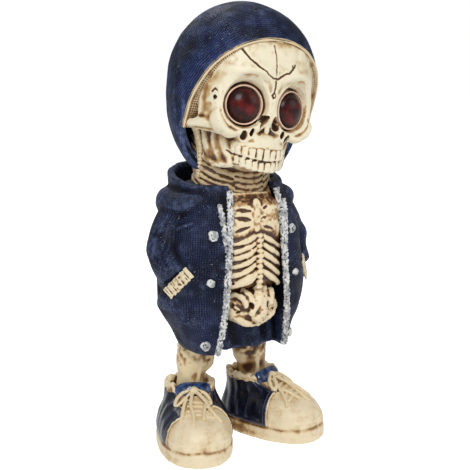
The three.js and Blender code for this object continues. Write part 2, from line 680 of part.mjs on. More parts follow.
function upperGeometry() {
  const low = UPPER_SECTIONS[0][0];
  const high = UPPER_SECTIONS[UPPER_SECTIONS.length - 1][0];
  return shoeDrum(20, 6, (share, around, reach) => {
    const z = low + (high - low) * share;
    const halfWidth = between(UPPER_SECTIONS, z, 1);
    const toe = between(UPPER_SECTIONS, z, 2);
    const heel = between(UPPER_SECTIONS, z, 3);
    const squareness = between(UPPER_SECTIONS, z, 4);
    const middle = (toe + heel) / 2;
    const p = middle - reach * ((toe - heel) / 2) * squared(Math.sin(around), squareness);
    return { p, q: reach * halfWidth * squared(Math.cos(around), squareness), z };
  });
}

function shoeSolid() {
  const hollow = shoeDrum(14, 1, (share, around, reach) => ({
    p: ANKLE.p - reach * ANKLE.halfLength * Math.sin(around),
    q: reach * ANKLE.halfWidth * Math.cos(around),
    z: ANKLE.floor + share * 10,
  }));
  const tongue = ball(8, 5, (unit) => {
    const lean = rad(TONGUE.lean);
    const along = TONGUE.halfLength * -unit.y;
    const rise = TONGUE.halfHeight * unit.z;
    return toShoe(
      TONGUE.p + along * Math.cos(lean) - rise * Math.sin(lean), TONGUE.halfWidth * unit.x,
      TONGUE.z + along * Math.sin(lean) + rise * Math.cos(lean),
    );
  });
  const shoe = joined([solid(soleGeometry()), solid(upperGeometry())]);
  return joined([shoe.subtract(solid(hollow)), solid(tongue), ...laceSolids()]);
}

const vampZ = (p) => between(VAMP_RIDGE, p, 1);

function laceSolids() {
  const laces = [];
  for (let i = 0; i < LACE.rows; i += 1) {
    const p = LACE.firstP + ((LACE.lastP - LACE.firstP) * i) / (LACE.rows - 1);
    const points = [-1, 0, 1].map((side) => {
      const spot = toShoe(p - 0.6 * Math.abs(side), side * LACE.halfWidth, vampZ(p) - Math.abs(side) * LACE.fall);
      return spot.toArray();
    });
    laces.push(solid(bar(curveThrough(points), () => LACE.radius, 3, 2)));
  }
  const knotP = LACE.firstP - 1;
  for (const [side, spread, reach] of LACE_TAILS) {
    const points = [0, 0.5, 1].map((share) => toShoe(
      knotP + reach * share, side * spread * share,
      vampZ(knotP + reach * share) + LACE.proud * (1 + Math.sin(Math.PI * share)) - 0.03 * (spread * share) ** 2,
    ).toArray());
    laces.push(solid(bar(curveThrough(points), () => LACE.radius, 3, 3)));
  }
  return laces;
}

function geometryOf(manifold) {
  const mesh = manifold.getMesh();
  const geometry = new THREE.BufferGeometry();
  geometry.setAttribute('position', new THREE.BufferAttribute(new Float32Array(mesh.vertProperties), 3));
  geometry.setIndex(new THREE.BufferAttribute(new Uint32Array(mesh.triVerts), 1));
  return geometry;
}

function mirroredSolid(manifold) {
  return solid(mirrored(geometryOf(manifold)));
}

function castingSolid() {
  const leftShoe = shoeSolid();
  const collar = solid(collarDrum(0, COLLAR.bottom)).subtract(solid(collarDrum(COLLAR.wall, COLLAR.bottom + 6)));
  const clothes = joined([
    solid(jacketBody()), bothSides(sleeveGeometry()), collar, solid(rollGeometry()),
  ]).subtract(solid(openingCut()));
  const details = joined([
    bothSides(trimGeometry()), bothSides(cuffGeometry()), ...STUDS.map((stud) => bothSides(studGeometry(stud))),
  ]);
  return joined([
    clothes, details, headSolids(), neckSolid(), ribCage(), pelvisSolid(), liningSolid(),
    bothSides(legGeometry()), leftShoe, mirroredSolid(leftShoe),
  ]);
}

function finish({ colour, roughness }) {
  return new THREE.MeshStandardMaterial({ color: colour, roughness, metalness: 0 });
}

const group = new THREE.Group();
group.position.set(STAND.x, STAND.y, 0);

const casting = new THREE.Mesh(geometryOf(castingSolid()), finish(RESIN));
casting.name = 'skeleton_casting';
group.add(casting);

for (const [name, side] of [['eye_lens_left', 1], ['eye_lens_right', -1]]) {
  const atEye = placed(lensGeometry(), eyeMatrix());
  const lens = new THREE.Mesh(side > 0 ? atEye : mirrored(atEye), finish(RED_LENS));
  lens.name = name;
  lens.applyMatrix4(headMatrix);
  group.add(lens);
}

export default group;
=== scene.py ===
# The looks of the skeleton figurine: hand-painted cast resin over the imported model.
# Shapes are made in millimetres in the figure's own frame, and each finished piece is
# brought to metres and to its place. +Z is up and the figure faces -Y.
import json
import math

import bpy
import numpy as np
from mathutils import Matrix, Vector

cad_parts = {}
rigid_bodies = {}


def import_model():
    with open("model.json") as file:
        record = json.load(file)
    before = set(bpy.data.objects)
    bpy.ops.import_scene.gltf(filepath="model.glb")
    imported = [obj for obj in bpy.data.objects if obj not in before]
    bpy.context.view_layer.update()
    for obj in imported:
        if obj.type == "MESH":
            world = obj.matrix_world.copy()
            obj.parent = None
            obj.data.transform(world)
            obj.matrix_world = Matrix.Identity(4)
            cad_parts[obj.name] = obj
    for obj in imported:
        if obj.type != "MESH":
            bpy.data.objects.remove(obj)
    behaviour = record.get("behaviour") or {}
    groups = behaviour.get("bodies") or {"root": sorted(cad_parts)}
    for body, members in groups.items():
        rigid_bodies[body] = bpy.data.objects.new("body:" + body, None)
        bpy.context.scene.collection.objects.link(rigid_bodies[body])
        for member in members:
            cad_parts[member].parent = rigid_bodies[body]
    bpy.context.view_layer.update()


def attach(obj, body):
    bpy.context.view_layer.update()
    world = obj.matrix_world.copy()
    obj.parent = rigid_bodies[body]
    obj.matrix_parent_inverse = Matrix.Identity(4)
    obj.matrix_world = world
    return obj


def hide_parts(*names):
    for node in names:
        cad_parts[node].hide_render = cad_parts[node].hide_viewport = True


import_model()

MM = 0.001

# Where the figure stands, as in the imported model.
STAND_Y = 0.88

# Paints, as linear colours.
IVORY = (0.805, 0.73, 0.54)
RIB_IVORY = (0.80, 0.67, 0.45)
LEG_IVORY = (0.80, 0.65, 0.40)
LACE_CREAM = (0.80, 0.66, 0.42)
CUFF_CREAM = (0.74, 0.64, 0.44)
NET_CREAM = (0.74, 0.60, 0.38)
NECK_TAN = (0.53, 0.405, 0.235)
RING_PINK = (0.78, 0.55, 0.40)
OCHRE = (0.33, 0.175, 0.060)
UMBER = (0.065, 0.024, 0.009)
NAVY = (0.0095, 0.0165, 0.064)
NAVY_LIGHT = (0.105, 0.148, 0.290)
NAVY_DARK = (0.0025, 0.0035, 0.010)
JACKET_NAVY = (0.0062, 0.0091, 0.029)
JACKET_LIGHT = (0.068, 0.090, 0.172)

# The share of its triangles that each large piece keeps once its paint is noted.
KEPT_SHARE = {
    "skull": 0.52, "hood": 0.62, "jacket": 0.64, "neck": 0.5, "rib_cage": 0.6, "shoes": 0.6,
    "jacket_lining": 0.5, "laces": 0.7, "jacket_trims": 0.85, "cuffs": 0.7, "studs": 0.7,
    "hood_beaded_edge": 0.7, "pelvis": 0.8,
}

# Tools for shaping


def only(*pieces):
    bpy.ops.object.select_all(action="DESELECT")
    for piece in pieces:
        piece.select_set(True)
    bpy.context.view_layer.objects.active = pieces[0]


def scaled(piece, size):
    """The piece at this size, with its place and turn moved into its mesh too."""
    piece.scale = size
    only(piece)
    bpy.ops.object.transform_apply(location=True, rotation=True, scale=True)
    return piece


def ball(centre, radii, lean=(0, 0, 0), segments=24, rings=16):
    bpy.ops.mesh.primitive_uv_sphere_add(
        segments=segments, ring_count=rings, location=centre, rotation=lean
    )
    return scaled(bpy.context.object, radii)


def unit_ball(segments, rings):
    return ball((0, 0, 0), (1, 1, 1), segments=segments, rings=rings)


def linked(data):
    piece = bpy.data.objects.new("piece", data)
    bpy.context.collection.objects.link(piece)
    only(piece)
    return piece


def meshed(points, edges, faces):
    mesh = bpy.data.meshes.new("piece")
    mesh.from_pydata([tuple(p) for p in points], edges, faces)
    return linked(mesh)


def rope(points, thickness, sides=12):
    """A round bar through the points; thickness is one radius or one for each point."""
    curve = bpy.data.curves.new("rope", "CURVE")
    curve.dimensions = "3D"
    curve.bevel_depth = 1
    curve.bevel_resolution = max(sides // 4 - 1, 1)
    curve.use_fill_caps = True
    curve.resolution_u = 6
    line = curve.splines.new("NURBS")
    line.points.add(len(points) - 1)
    line.order_u = min(4, len(points))
    line.use_endpoint_u = True
    radii = np.broadcast_to(np.asarray(thickness, float), len(points))
    for spot, place, radius in zip(line.points, points, radii):
        spot.co = (*place, 1)
        spot.radius = radius
    linked(curve)
    bpy.ops.object.convert(target="MESH")
    return bpy.context.object


def joined(pieces):
    only(*pieces)
    if len(pieces) > 1:
        bpy.ops.object.join()
    return bpy.context.object


def apply_modifier(piece, kind, **values):
    only(piece)
    modifier = piece.modifiers.new("step", kind)
    for key, value in values.items():
        setattr(modifier, key, value)
    bpy.ops.object.modifier_apply(modifier=modifier.name)
    return piece


def fused(pieces, voxel, soften=4):
    """One skin round all the pieces, softened like a worn casting."""
    piece = joined(pieces)
    apply_modifier(piece, "REMESH", mode="VOXEL", voxel_size=voxel, adaptivity=0)
    if soften:
        apply_modifier(piece, "SMOOTH", factor=0.5, iterations=soften)
    return piece


def carve(piece, cutters):
    """Takes each cutter's shape out of the piece."""
    for cutter in cutters:
        apply_modifier(cutter, "WELD", merge_threshold=0.002)
        apply_modifier(piece, "BOOLEAN", operation="DIFFERENCE", object=cutter, solver="MANIFOLD")
        bpy.data.objects.remove(cutter)
    return piece


def listed(items, field, wide=3, kind=float):
    """One field of a mesh's corners or edges, as rows of numbers."""
    flat = np.empty(len(items) * wide, dtype=kind)
    items.foreach_get(field, flat)
    return flat.reshape(-1, wide)


def corners(piece):
    return listed(piece.data.vertices, "co")


def outward(piece):
    return listed(piece.data.vertex_normals, "vector")


def columns(*values):
    """Rows of points from separate columns, any of which may be a single number."""
    return np.stack(np.broadcast_arrays(*values), axis=-1)


def sculpt(piece, move):
    """Moves the piece's corners to move(corners, outward)."""
    moved_to = move(corners(piece), outward(piece))
    piece.data.vertices.foreach_set("co", np.ascontiguousarray(moved_to, dtype=float).ravel())
    piece.data.update()
    return piece


def swell(piece, amount):
    """Moves each corner outward by amount(corners) millimetres."""
    return sculpt(piece, lambda p, out: p + out * amount(p)[:, None])


def moved(piece, matrix):
    piece.data.transform(matrix)
    return piece


def both(pieces):
    """The pieces and a copy of each on the figure's other side, right side out."""
    pieces = list(pieces)
    copies = []
    for piece in pieces:
        copy = linked(piece.data.copy())
        moved(copy, Matrix.Scale(-1, 4, (1, 0, 0))).data.flip_normals()
        copies.append(copy)
    return pieces + copies


def facing_out(piece):
    only(piece)
    bpy.ops.object.mode_set(mode="EDIT")
    bpy.ops.mesh.select_all(action="SELECT")
    bpy.ops.mesh.remove_doubles(threshold=0.002)
    bpy.ops.mesh.normals_make_consistent(inside=False)
    bpy.ops.object.mode_set(mode="OBJECT")
    return piece


def turned(outline, steps=64):
    """A round piece spun from a half outline of radius and height about its own +Z."""
    edges = [(i, i + 1) for i in range(len(outline) - 1)]
    piece = meshed([(radius, 0, z) for radius, z in outline], edges, [])
    apply_modifier(
        piece, "SCREW", angle=math.tau, steps=steps, render_steps=steps,
        use_merge_vertices=True, merge_threshold=0.001, use_normal_calculate=True,
    )
    return facing_out(piece)


def prism(outline, low, high):
    """A block of an outline of (y, z), from x low to high."""
    piece = meshed([(low, y, z) for y, z in outline], [], [tuple(range(len(outline)))])
    apply_modifier(piece, "SOLIDIFY", thickness=high - low, offset=1)
    p = corners(piece)
    p[:, 0] = np.where(p[:, 0] > p[:, 0].mean(), high, low)
    return facing_out(sculpt(piece, lambda q, out: p))


def front_prism(outline, near, far):
    """A block of an outline of (x, z), from y near to far."""
    return moved(prism(outline, -far, -near), Matrix.Rotation(-math.pi / 2, 4, "Z"))


def lofted(spot, sides=96, rings=60):
    """A closed piece whose wall is spot(turn, share), with a flat end below and above."""
    def shape(p, out):
        step = np.arccos(np.clip(-p[:, 2], -1, 1)) / math.pi * rings
        share = np.clip((step - 1) / (rings - 2), 0, 1)
        wall = columns(*spot(np.arctan2(p[:, 1], p[:, 0]), share))
        low_end = (step > 0.5) & (step < 1.5)
        high_end = (step > rings - 1.5) & (step < rings - 0.5)
        wall[step < 0.5] = wall[low_end].mean(axis=0)
        wall[step > rings - 0.5] = wall[high_end].mean(axis=0)
        return wall

    return sculpt(unit_ball(sides, rings), shape)


# Curves and noise


def ease(x, low, high):
    """0 below low, 1 above high and a smooth climb between them."""
    t = np.clip((x - low) / (high - low), 0, 1)
    return t * t * (3 - 2 * t)


def bell(distance, width):
    return np.exp(-((distance / width) ** 2))


def squared(value, squareness):
    return np.sign(value) * np.abs(value) ** (2 / squareness)


def ring(turn, squareness):
    """The two directions of a unit ring, squarer as squareness rises from 2."""
    return squared(np.cos(turn), squareness), squared(np.sin(turn), squareness)


def rounded(share, squareness):
    """1 at share 0 and 0 at share 1, along a rounded corner."""
    return (1 - share ** squareness) ** (1 / squareness)


def travelled(a, b):
    """The distance along the line through points (a, b), for each of them."""
    return np.concatenate([[0], np.cumsum(np.hypot(np.diff(a), np.diff(b)))])


def between(rows, height):
    """Smooth values between rows sorted by their first number, one for each other column."""
    rows = np.asarray(rows, float)
    x = rows[:, 0]
    at_height = np.clip(height, x[0], x[-1])
    i = np.clip(np.searchsorted(x, at_height, side="right") - 1, 0, len(x) - 2)
    span = x[i + 1] - x[i]
    t = (at_height - x[i]) / span
    keep = (1 + 2 * t) * (1 - t) ** 2
    leave = span * t * (1 - t) ** 2
    arrive = span * t * t * (t - 1)
    values = []
    for y in rows[:, 1:].T:
        slope = np.gradient(y, x)
        values.append(keep * y[i] + (1 - keep) * y[i + 1] + leave * slope[i] + arrive * slope[i + 1])
    return values


def scatter(cell, seed):
    """A steady random number from 0 to 1 for each whole-numbered cell."""
    mixed = np.sin(cell @ np.array([12.9898, 78.233, 37.719]) + seed * 4.7) * 43758.5453
    return mixed - np.floor(mixed)


def lumps(points, size, seed=0):
    """Smooth noise from -1 to 1 with lumps of about this size."""
    scaled_points = points / size + seed * 3.17
    cell = np.floor(scaled_points)
    t = scaled_points - cell
    t = t * t * (3 - 2 * t)
    total = np.zeros(len(points))
    for corner in np.ndindex(2, 2, 2):
        weight = np.prod(np.where(np.array(corner) == 1, t, 1 - t), axis=1)
        total += weight * scatter(cell + corner, seed)
    return total * 2 - 1


def crumbs(points, size, seed=0):
    """Distance to the nearest scattered crumb, as a share of the crumbs' spacing."""
    spaced = points / size
    cell = np.floor(spaced)
    nearest = np.full(len(points), 9.0)
    for step in np.ndindex(3, 3, 3):
        home = cell + np.array(step) - 1
        spot = home + columns(*(scatter(home, seed + k) for k in (1, 2, 3)))
        nearest = np.minimum(nearest, np.linalg.norm(spaced - spot, axis=1))
    return nearest


def line_distance(points, path):
    """Distance from each point to a bent line through the path's points."""
    path = np.asarray(path, float)
    nearest = np.full(len(points), 1e9)
    for start, end in zip(path[:-1], path[1:]):
        along = end - start
        share = np.clip((points - start) @ along / max(along @ along, 1e-9), 0, 1)
        away = np.linalg.norm(points - start - share[:, None] * along, axis=1)
        nearest = np.minimum(nearest, away)
    return nearest


def raised_by(p, lift, folds, strength=1):
    """Adds to lift what each fold of (path, width, rise) raises."""
    for path, width, rise in folds:
        lift = lift + strength * rise * bell(line_distance(p, path), width)
    return lift


def two_sided(folds):
    """Each fold on the figure's right and on its left."""
    return [
        ([(side * x, y, z) for x, y, z in path], width, rise)
        for path, width, rise in folds
        for side in (-1, 1)
    ]


# Paint that follows the shape

# How often the shape is smoothed to find hollows of three sizes, and the depth, in
# millimetres, at which each takes a full wash; and the height at which an edge is worn.
SMOOTHINGS = (3, 14, 60)
WASH_DEPTHS = (0.045, 0.13, 0.42)
WORN_HEIGHTS = (0.03, 0.10)


def spread(values, ends, times):
    """Averages values with their neighbours' along the edges, several times over."""
    count = len(values)
    degree = np.bincount(ends.ravel(), minlength=count).astype(float) + 1
    table = values.reshape(count, -1).copy()
    for _ in range(times):
        for k in range(table.shape[1]):
            column = table[:, k]
            total = np.bincount(ends[:, 0], column[ends[:, 1]], count)
            total += np.bincount(ends[:, 1], column[ends[:, 0]], count)
            table[:, k] = (total + column) / degree
    return table.reshape(values.shape)


def note(piece, name, values):
    """Keeps one number or three for each corner, for the paint to read."""
    kind, field = ("FLOAT", "value") if values.ndim == 1 else ("FLOAT_VECTOR", "vector")
    layer = piece.data.attributes.new(name, kind, "POINT")
    layer.data.foreach_set(field, np.ascontiguousarray(values, dtype=np.float32).ravel())


def stained_and_shaded(piece, fine=1.0, broad=1.0, extra=0.0):
    """Notes how much brown wash lies in each corner's hollows, with the painted shade and other darkening
    given as extra, and how worn its edges are.
    """
    points, out = corners(piece), outward(piece)
    ends = listed(piece.data.edges, "vertices", 2, np.int64)

    def hollowness(times):
        """How far each corner lies below the smoothed shape, in millimetres."""
        return np.einsum("ij,ij->i", spread(points, ends, times) - points, out)

    small, middle, wide = (hollowness(times) for times in SMOOTHINGS)
    wash_and_shade = fine * (small / WASH_DEPTHS[0] + middle / WASH_DEPTHS[1]) + broad * wide / WASH_DEPTHS[2] + extra
    note(piece, "wash_and_shade", np.clip(spread(wash_and_shade, ends, 1), -1, 2.5))
    note(piece, "worn", np.clip(-(small / WORN_HEIGHTS[0] + middle / WORN_HEIGHTS[1]), 0, 2))
    return piece


def finished(piece, name, paint, in_head=False):
    """Brings a piece to its place in metres, names and paints it, and lets it ride on the body."""
    if name in KEPT_SHARE:
        apply_modifier(piece, "DECIMATE", ratio=KEPT_SHARE[name])
    if in_head:
        piece.data.transform(HEAD_MATRIX)
    piece.data.transform(Matrix.Scale(MM, 4) @ Matrix.Translation((0, STAND_Y, 0)))
    piece.name = name
    piece.data.name = name
    piece.data.materials.clear()
    piece.data.materials.append(paint)
    only(piece)
    bpy.ops.object.shade_smooth()
    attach(piece, "root")
    return piece


# Paint


class Recipe:
    """A material's nodes, added one after another."""

    def __init__(self, name, roughness=0.5, coat=0.0, coat_roughness=0.2, specular=0.5):
        self.material = bpy.data.materials.new(name)
        self.material.use_nodes = True
        self.tree = self.material.node_tree
        self.sockets = self.tree.nodes["Principled BSDF"].inputs
        self.sockets["Roughness"].default_value = roughness
        self.sockets["Coat Weight"].default_value = coat
        self.sockets["Coat Roughness"].default_value = coat_roughness
        self.sockets["Specular IOR Level"].default_value = specular
        self.place = self.node("ShaderNodeTexCoord").outputs["Object"]

    def node(self, kind, **values):
        made = self.tree.nodes.new(kind)
        for key, value in values.items():
            setattr(made, key, value)
        return made

    def feed(self, socket, value):
        if isinstance(value, bpy.types.NodeSocket):
            self.tree.links.new(value, socket)
        elif isinstance(value, tuple):
            socket.default_value = (*value, 1)
        else:
            socket.default_value = value

    def noted(self, name):
        return self.node("ShaderNodeAttribute", attribute_name=name).outputs["Fac"]

    def woven(self):
        """The noted rows, stitches and strength of the weave."""
        parts = self.node("ShaderNodeSeparateXYZ")
        weave = self.node("ShaderNodeAttribute", attribute_name="weave")
        self.feed(parts.inputs[0], weave.outputs["Vector"])
        return parts.outputs

    def noise(self, size, detail=3, rough=0.55):
        """Noise with lumps of about this many millimetres."""
        made = self.node("ShaderNodeTexNoise")
        self.feed(made.inputs["Vector"], self.place)
        made.inputs["Scale"].default_value = 1 / (size * MM)
        made.inputs["Detail"].default_value = detail
        made.inputs["Roughness"].default_value = rough
        return made.outputs["Fac"]

    def math(self, operation, a, b=0.0, clamp=False):
        made = self.node("ShaderNodeMath", operation=operation, use_clamp=clamp)
        self.feed(made.inputs[0], a)
        self.feed(made.inputs[1], b)
        return made.outputs[0]

    def times(self, a, b):
        return self.math("MULTIPLY", a, b)

    def plus(self, a, b, clamp=False):
        return self.math("ADD", a, b, clamp)

    def swing(self, value, middle, strength):
        """How far the value lies from its middle, times a strength."""
        return self.times(self.math("SUBTRACT", value, middle), strength)

    def ramp(self, value, low, high, bottom=0.0, top=1.0):
        made = self.node("ShaderNodeMapRange", interpolation_type="SMOOTHSTEP")
        self.feed(made.inputs["Value"], value)
        for name, number in (("From Min", low), ("From Max", high), ("To Min", bottom), ("To Max", top)):
            made.inputs[name].default_value = number
        return made.outputs["Result"]

    def patches(self, size, detail, low, high, bottom=0.0, top=1.0):
        """Noise with its contrast raised between low and high."""
        return self.ramp(self.noise(size, detail), low, high, bottom, top)

    def mix(self, share, first, second):
        made = self.node("ShaderNodeMix", data_type="RGBA", blend_type="MIX")
        self.feed(made.inputs["Factor"], share)
        self.feed(made.inputs["A"], first)
        self.feed(made.inputs["B"], second)
        return made.outputs["Result"]

    def layered(self, colour, value, *layers):
        """Covers the colour with each layer of (low, high, tint) as the value climbs."""
        for low, high, tint in layers:
            colour = self.mix(self.ramp(value, low, high), colour, tint)
        return colour

    def bump(self, height, depth, under=None):
        """Raises the surface by height times depth millimetres."""
        made = self.node("ShaderNodeBump")
        made.inputs["Strength"].default_value = 1
        made.inputs["Distance"].default_value = depth * MM
        self.feed(made.inputs["Height"], height)
        if under is not None:
            self.feed(made.inputs["Normal"], under)
        return made.outputs["Normal"]

    def done(self, colour, roughness=None, normal=None):
        for name, value in (("Base Color", colour), ("Roughness", roughness), ("Normal", normal)):
            if value is not None:
                self.feed(self.sockets[name], value)
        return self.material


def tinted(colour, by):
    return tuple(np.minimum(np.multiply(colour, by), 1))


def bone_paint(name="bone_paint", pale=IVORY, darkening=0.0, gloss=0.36, cloud=1.4):
    """Ivory paint with an ochre and umber wash rubbed into the hollows, and laid too where painted shade is
    noted.
    """
    mix = Recipe(name, roughness=gloss, coat=0.10, coat_roughness=0.3)
    grain = mix.noise(0.7, 4, 0.65)
    uneven = mix.plus(mix.noted("wash_and_shade"), mix.swing(grain, 0.5, 0.9))
    # An even shift that browns the whole piece; on the neck it stands for painted shade.
    uneven = mix.plus(uneven, mix.swing(mix.noise(3.4, 4, 0.6), 0.49 - darkening, cloud))
    warm = mix.mix(mix.patches(6.5, 3, 0.40, 0.66), pale, tinted(pale, (0.86, 0.79, 0.66)))
    colour = mix.layered(
        tinted(pale, 1.05), uneven, (-0.7, 0.3, warm), (0.05, 0.75, tinted(pale, (0.64, 0.47, 0.28))),
        (0.6, 1.25, OCHRE), (1.15, 1.95, UMBER),
    )
    colour = mix.mix(mix.times(mix.patches(0.55, 1, 0.70, 0.75), 0.5), colour, OCHRE)
    rough = mix.ramp(grain, 0.3, 0.7, gloss - 0.06, gloss + 0.16)
    pitted = mix.bump(mix.noise(0.5, 3), 0.05)
    return mix.done(colour, rough, mix.bump(mix.noise(2.2, 2), 0.14, pitted))


def lens_paint():
    """Dark red translucent dome with a painted glow: brighter red in its middle, deeper towards its rim."""
    mix = Recipe("red_lens", roughness=0.3, coat=0.2, specular=0.16)
    red = mix.mix(mix.patches(4.4, 2, 0.36, 0.66), (0.024, 0.003, 0.003), (0.15, 0.010, 0.008))
    return mix.done(mix.mix(mix.noted("glow"), red, (0.012, 0.003, 0.004)))


def cloth_paint(name="navy_cloth", row=0.80, stitch=0.62, base=NAVY, light=NAVY_LIGHT, wear=1.0):
    """Navy paint over a woven relief, dry-brushed paler where the cloth stands proud."""
    mix = Recipe(name, specular=0.12)
    weave = mix.woven()
    wander = mix.swing(mix.noise(4.0, 2), 0.5, 1.1)
    waves = []
    for axis, pitch in (("X", row), ("Y", stitch)):
        turn = mix.times(mix.plus(weave[axis], wander), math.tau / pitch)
        waves.append(mix.times(mix.plus(mix.math("SINE", turn), 1), 0.5))
    knots = mix.times(waves[0], mix.plus(mix.times(waves[1], 0.7), 0.3))
    blotches = mix.noise(5.0, 4)
    patches = mix.patches(13.0, 3, 0.40, 0.60)
    strength = mix.times(weave["Z"], mix.patches(9.0, 2, 0.36, 0.6, 0.6, 1.0))
    dry = mix.times(mix.ramp(knots, 0.38, 0.85), mix.ramp(blotches, 0.36, 0.66, 0.25, 1.0))
    dry = mix.times(dry, mix.times(strength, mix.ramp(patches, 0, 1, 0.55, 1.0)))
    brushed = mix.times(mix.ramp(mix.noted("worn"), 0.2, 1.7), mix.patches(1.4, 3, 0.4, 0.62, 0.2, 0.8))
    grain = mix.times(mix.patches(0.45, 2, 0.54, 0.70), mix.ramp(blotches, 0.38, 0.62, 0.10, 0.55))
    dry = mix.plus(dry, mix.plus(grain, mix.times(brushed, wear)), clamp=True)
    colour = mix.mix(patches, tinted(base, 0.5), tinted(base, 1.9))
    gaps = mix.times(mix.ramp(knots, 0.42, 0.08), strength)
    colour = mix.mix(mix.times(gaps, 0.95), colour, NAVY_DARK)
    colour = mix.mix(dry, colour, light)
    # Darker where the wash and the painted shade are noted.
    colour = mix.layered(colour, mix.noted("wash_and_shade"), (0.05, 1.1, NAVY_DARK))
    grime = mix.times(mix.patches(9.0, 3, 0.50, 0.66), 0.55)
    colour = mix.mix(grime, colour, (0.013, 0.013, 0.016))
    fleck = mix.times(mix.patches(0.5, 1, 0.69, 0.73), mix.patches(7.5, 2, 0.50, 0.60))
    colour = mix.mix(mix.times(fleck, 0.8), colour, (0.36, 0.39, 0.46))
    low = mix.bump(mix.noise(1.3, 3), 0.26)
    raised = mix.times(knots, strength)
    return mix.done(colour, mix.ramp(blotches, 0.35, 0.65, 0.6, 0.42), mix.bump(raised, 0.22, low))


def net_paint(pitch=0.78):
    """Cream net with brown in its holes, for the hood's turned edge."""
    mix = Recipe("cream_net", roughness=0.6)
    weave = mix.woven()
    waves = [mix.math("SINE", mix.times(weave[axis], math.tau / pitch)) for axis in ("X", "Y")]
    holes = mix.times(mix.ramp(mix.plus(*waves), -0.2, 1.1), weave["Z"])
    # Ochre over the cream in random patches and where wash and painted shade are noted.
    darkening = mix.plus(mix.noise(3.4, 3), mix.times(mix.noted("wash_and_shade"), 0.22))
    colour = mix.mix(holes, mix.layered(NET_CREAM, darkening, (0.42, 0.78, OCHRE)), UMBER)
    return mix.done(colour, None, mix.bump(holes, -0.16))


def silver_paint():
    """Silver brushed over the crumbs of the trims, with black left between them."""
    mix = Recipe("silver_trim", roughness=0.45)
    grain = mix.noise(0.5, 3, 0.7)
    share = mix.plus(mix.noted("wash_and_shade"), mix.swing(grain, 0.5, 2.2))
    base = mix.mix(mix.patches(2.4, 2, 0.42, 0.62), (0.74, 0.74, 0.72), (0.33, 0.34, 0.36))
    colour = mix.layered(base, share, (0.05, 0.75, (0.016, 0.017, 0.024)))
    return mix.done(colour, None, mix.bump(grain, 0.14))


def shoe_paint():
    """Cream cap and sole, and glossy navy panels where the note says so."""
    mix = Recipe("shoe_paint", roughness=0.4, coat=0.15, coat_roughness=0.3)
    panel = mix.ramp(mix.noted("panel"), 0.4, 0.6)
    cloudy = mix.noise(4.5, 4)
    # Browner where wash, dirt and painted shade are noted.
    uneven = mix.plus(mix.noted("wash_and_shade"), mix.swing(mix.noise(0.8, 4), 0.5, 0.8))
    uneven = mix.plus(uneven, mix.swing(cloudy, 0.45, 2.4))
    cream = mix.layered(
        (0.86, 0.735, 0.505), uneven, (-0.4, 0.6, (0.70, 0.52, 0.29)), (0.45, 1.1, OCHRE),
        (1.1, 2.0, UMBER),
    )
    speck = mix.times(mix.patches(0.6, 2, 0.62, 0.72), mix.ramp(cloudy, 0.42, 0.62, 0.05, 0.6))
    cream = mix.mix(speck, cream, OCHRE)
    navy = mix.mix(mix.patches(3.2, 4, 0.45, 0.7), (0.0045, 0.0055, 0.013), (0.012, 0.017, 0.042))
    navy = mix.mix(mix.ramp(mix.noted("worn"), 0.9, 2.0, 0, 0.5), navy, (0.10, 0.12, 0.18))
    rough = mix.math("SUBTRACT", 0.46, mix.times(panel, 0.22))
    return mix.done(mix.mix(panel, cream, navy), rough, mix.bump(mix.noise(1.2, 3), 0.06))


def glossy_blue():
    mix = Recipe("glossy_blue", roughness=0.22, coat=0.5, coat_roughness=0.12)
    # Paler blue patches over the navy are painted highlights of the gloss.
    colour = mix.mix(mix.patches(1.8, 3, 0.4, 0.62), (0.006, 0.012, 0.050), (0.035, 0.085, 0.23))
    return mix.done(colour, None, mix.bump(mix.noise(1.1, 2), 0.12))


# The head

# The head's own frame: u to the figure's left, v forward out of the face, w up.
HEAD_AT = (2.5, -2.5, 124.8)
HEAD_LEAN = math.radians(7)
HEAD_TURN = math.radians(1.5)
HEAD_MATRIX = (
    Matrix.Translation(HEAD_AT) @ Matrix.Rotation(HEAD_LEAN, 4, "Y") @ Matrix.Rotation(HEAD_TURN, 4, "Z")
)

SKULL_TOP = 22.6
SKULL_BOTTOM = 19.4
# Height, half width, front, back and front squareness of the skull's level sections.
SKULL_SECTIONS = [
    (-19.4, 14.2, 15.0, 12, 3.0),
    (-17.4, 18.4, 16.2, 14, 3.6),
    (-15, 20.2, 16.8, 16, 4.2),
    (-10, 20.6, 17.0, 20, 4.0),
    (-5, 20.9, 19.0, 21, 3.5),
    (0, 21.2, 21.1, 21, 2.7),
    (12, 21.8, 21.4, 21, 2.2),
    (23, 22.0, 21.6, 21, 2.0),
]

EYE_AT = (9.07, 16.6, -8.7)
EYE_SPLAY = math.radians(14)
LENS_RADIUS = 5.5
RING_RADIUS = 6.0
SOCKET_RADIUS = 6.9

# Swellings and hollows of the face: across, up, spread across, spread up, rise.
FACE_RELIEF = [
    (16.2, -12.6, 3.0, 3.2, 1.7),
    (12.6, -17.0, 3.8, 1.8, 1.7),
    (0, -7.0, 1.5, 4.2, 1.9),
    (0, -19.2, 7.5, 2.6, 1.3),
    (9.4, 1.0, 6.0, 1.9, 1.0),
    (3.9, -16.2, 1.1, 3.2, 0.9),
    (0, 2.6, 3.0, 2.4, -0.5),
    (9.0, 10.5, 6.0, 4.0, 0.5),
]
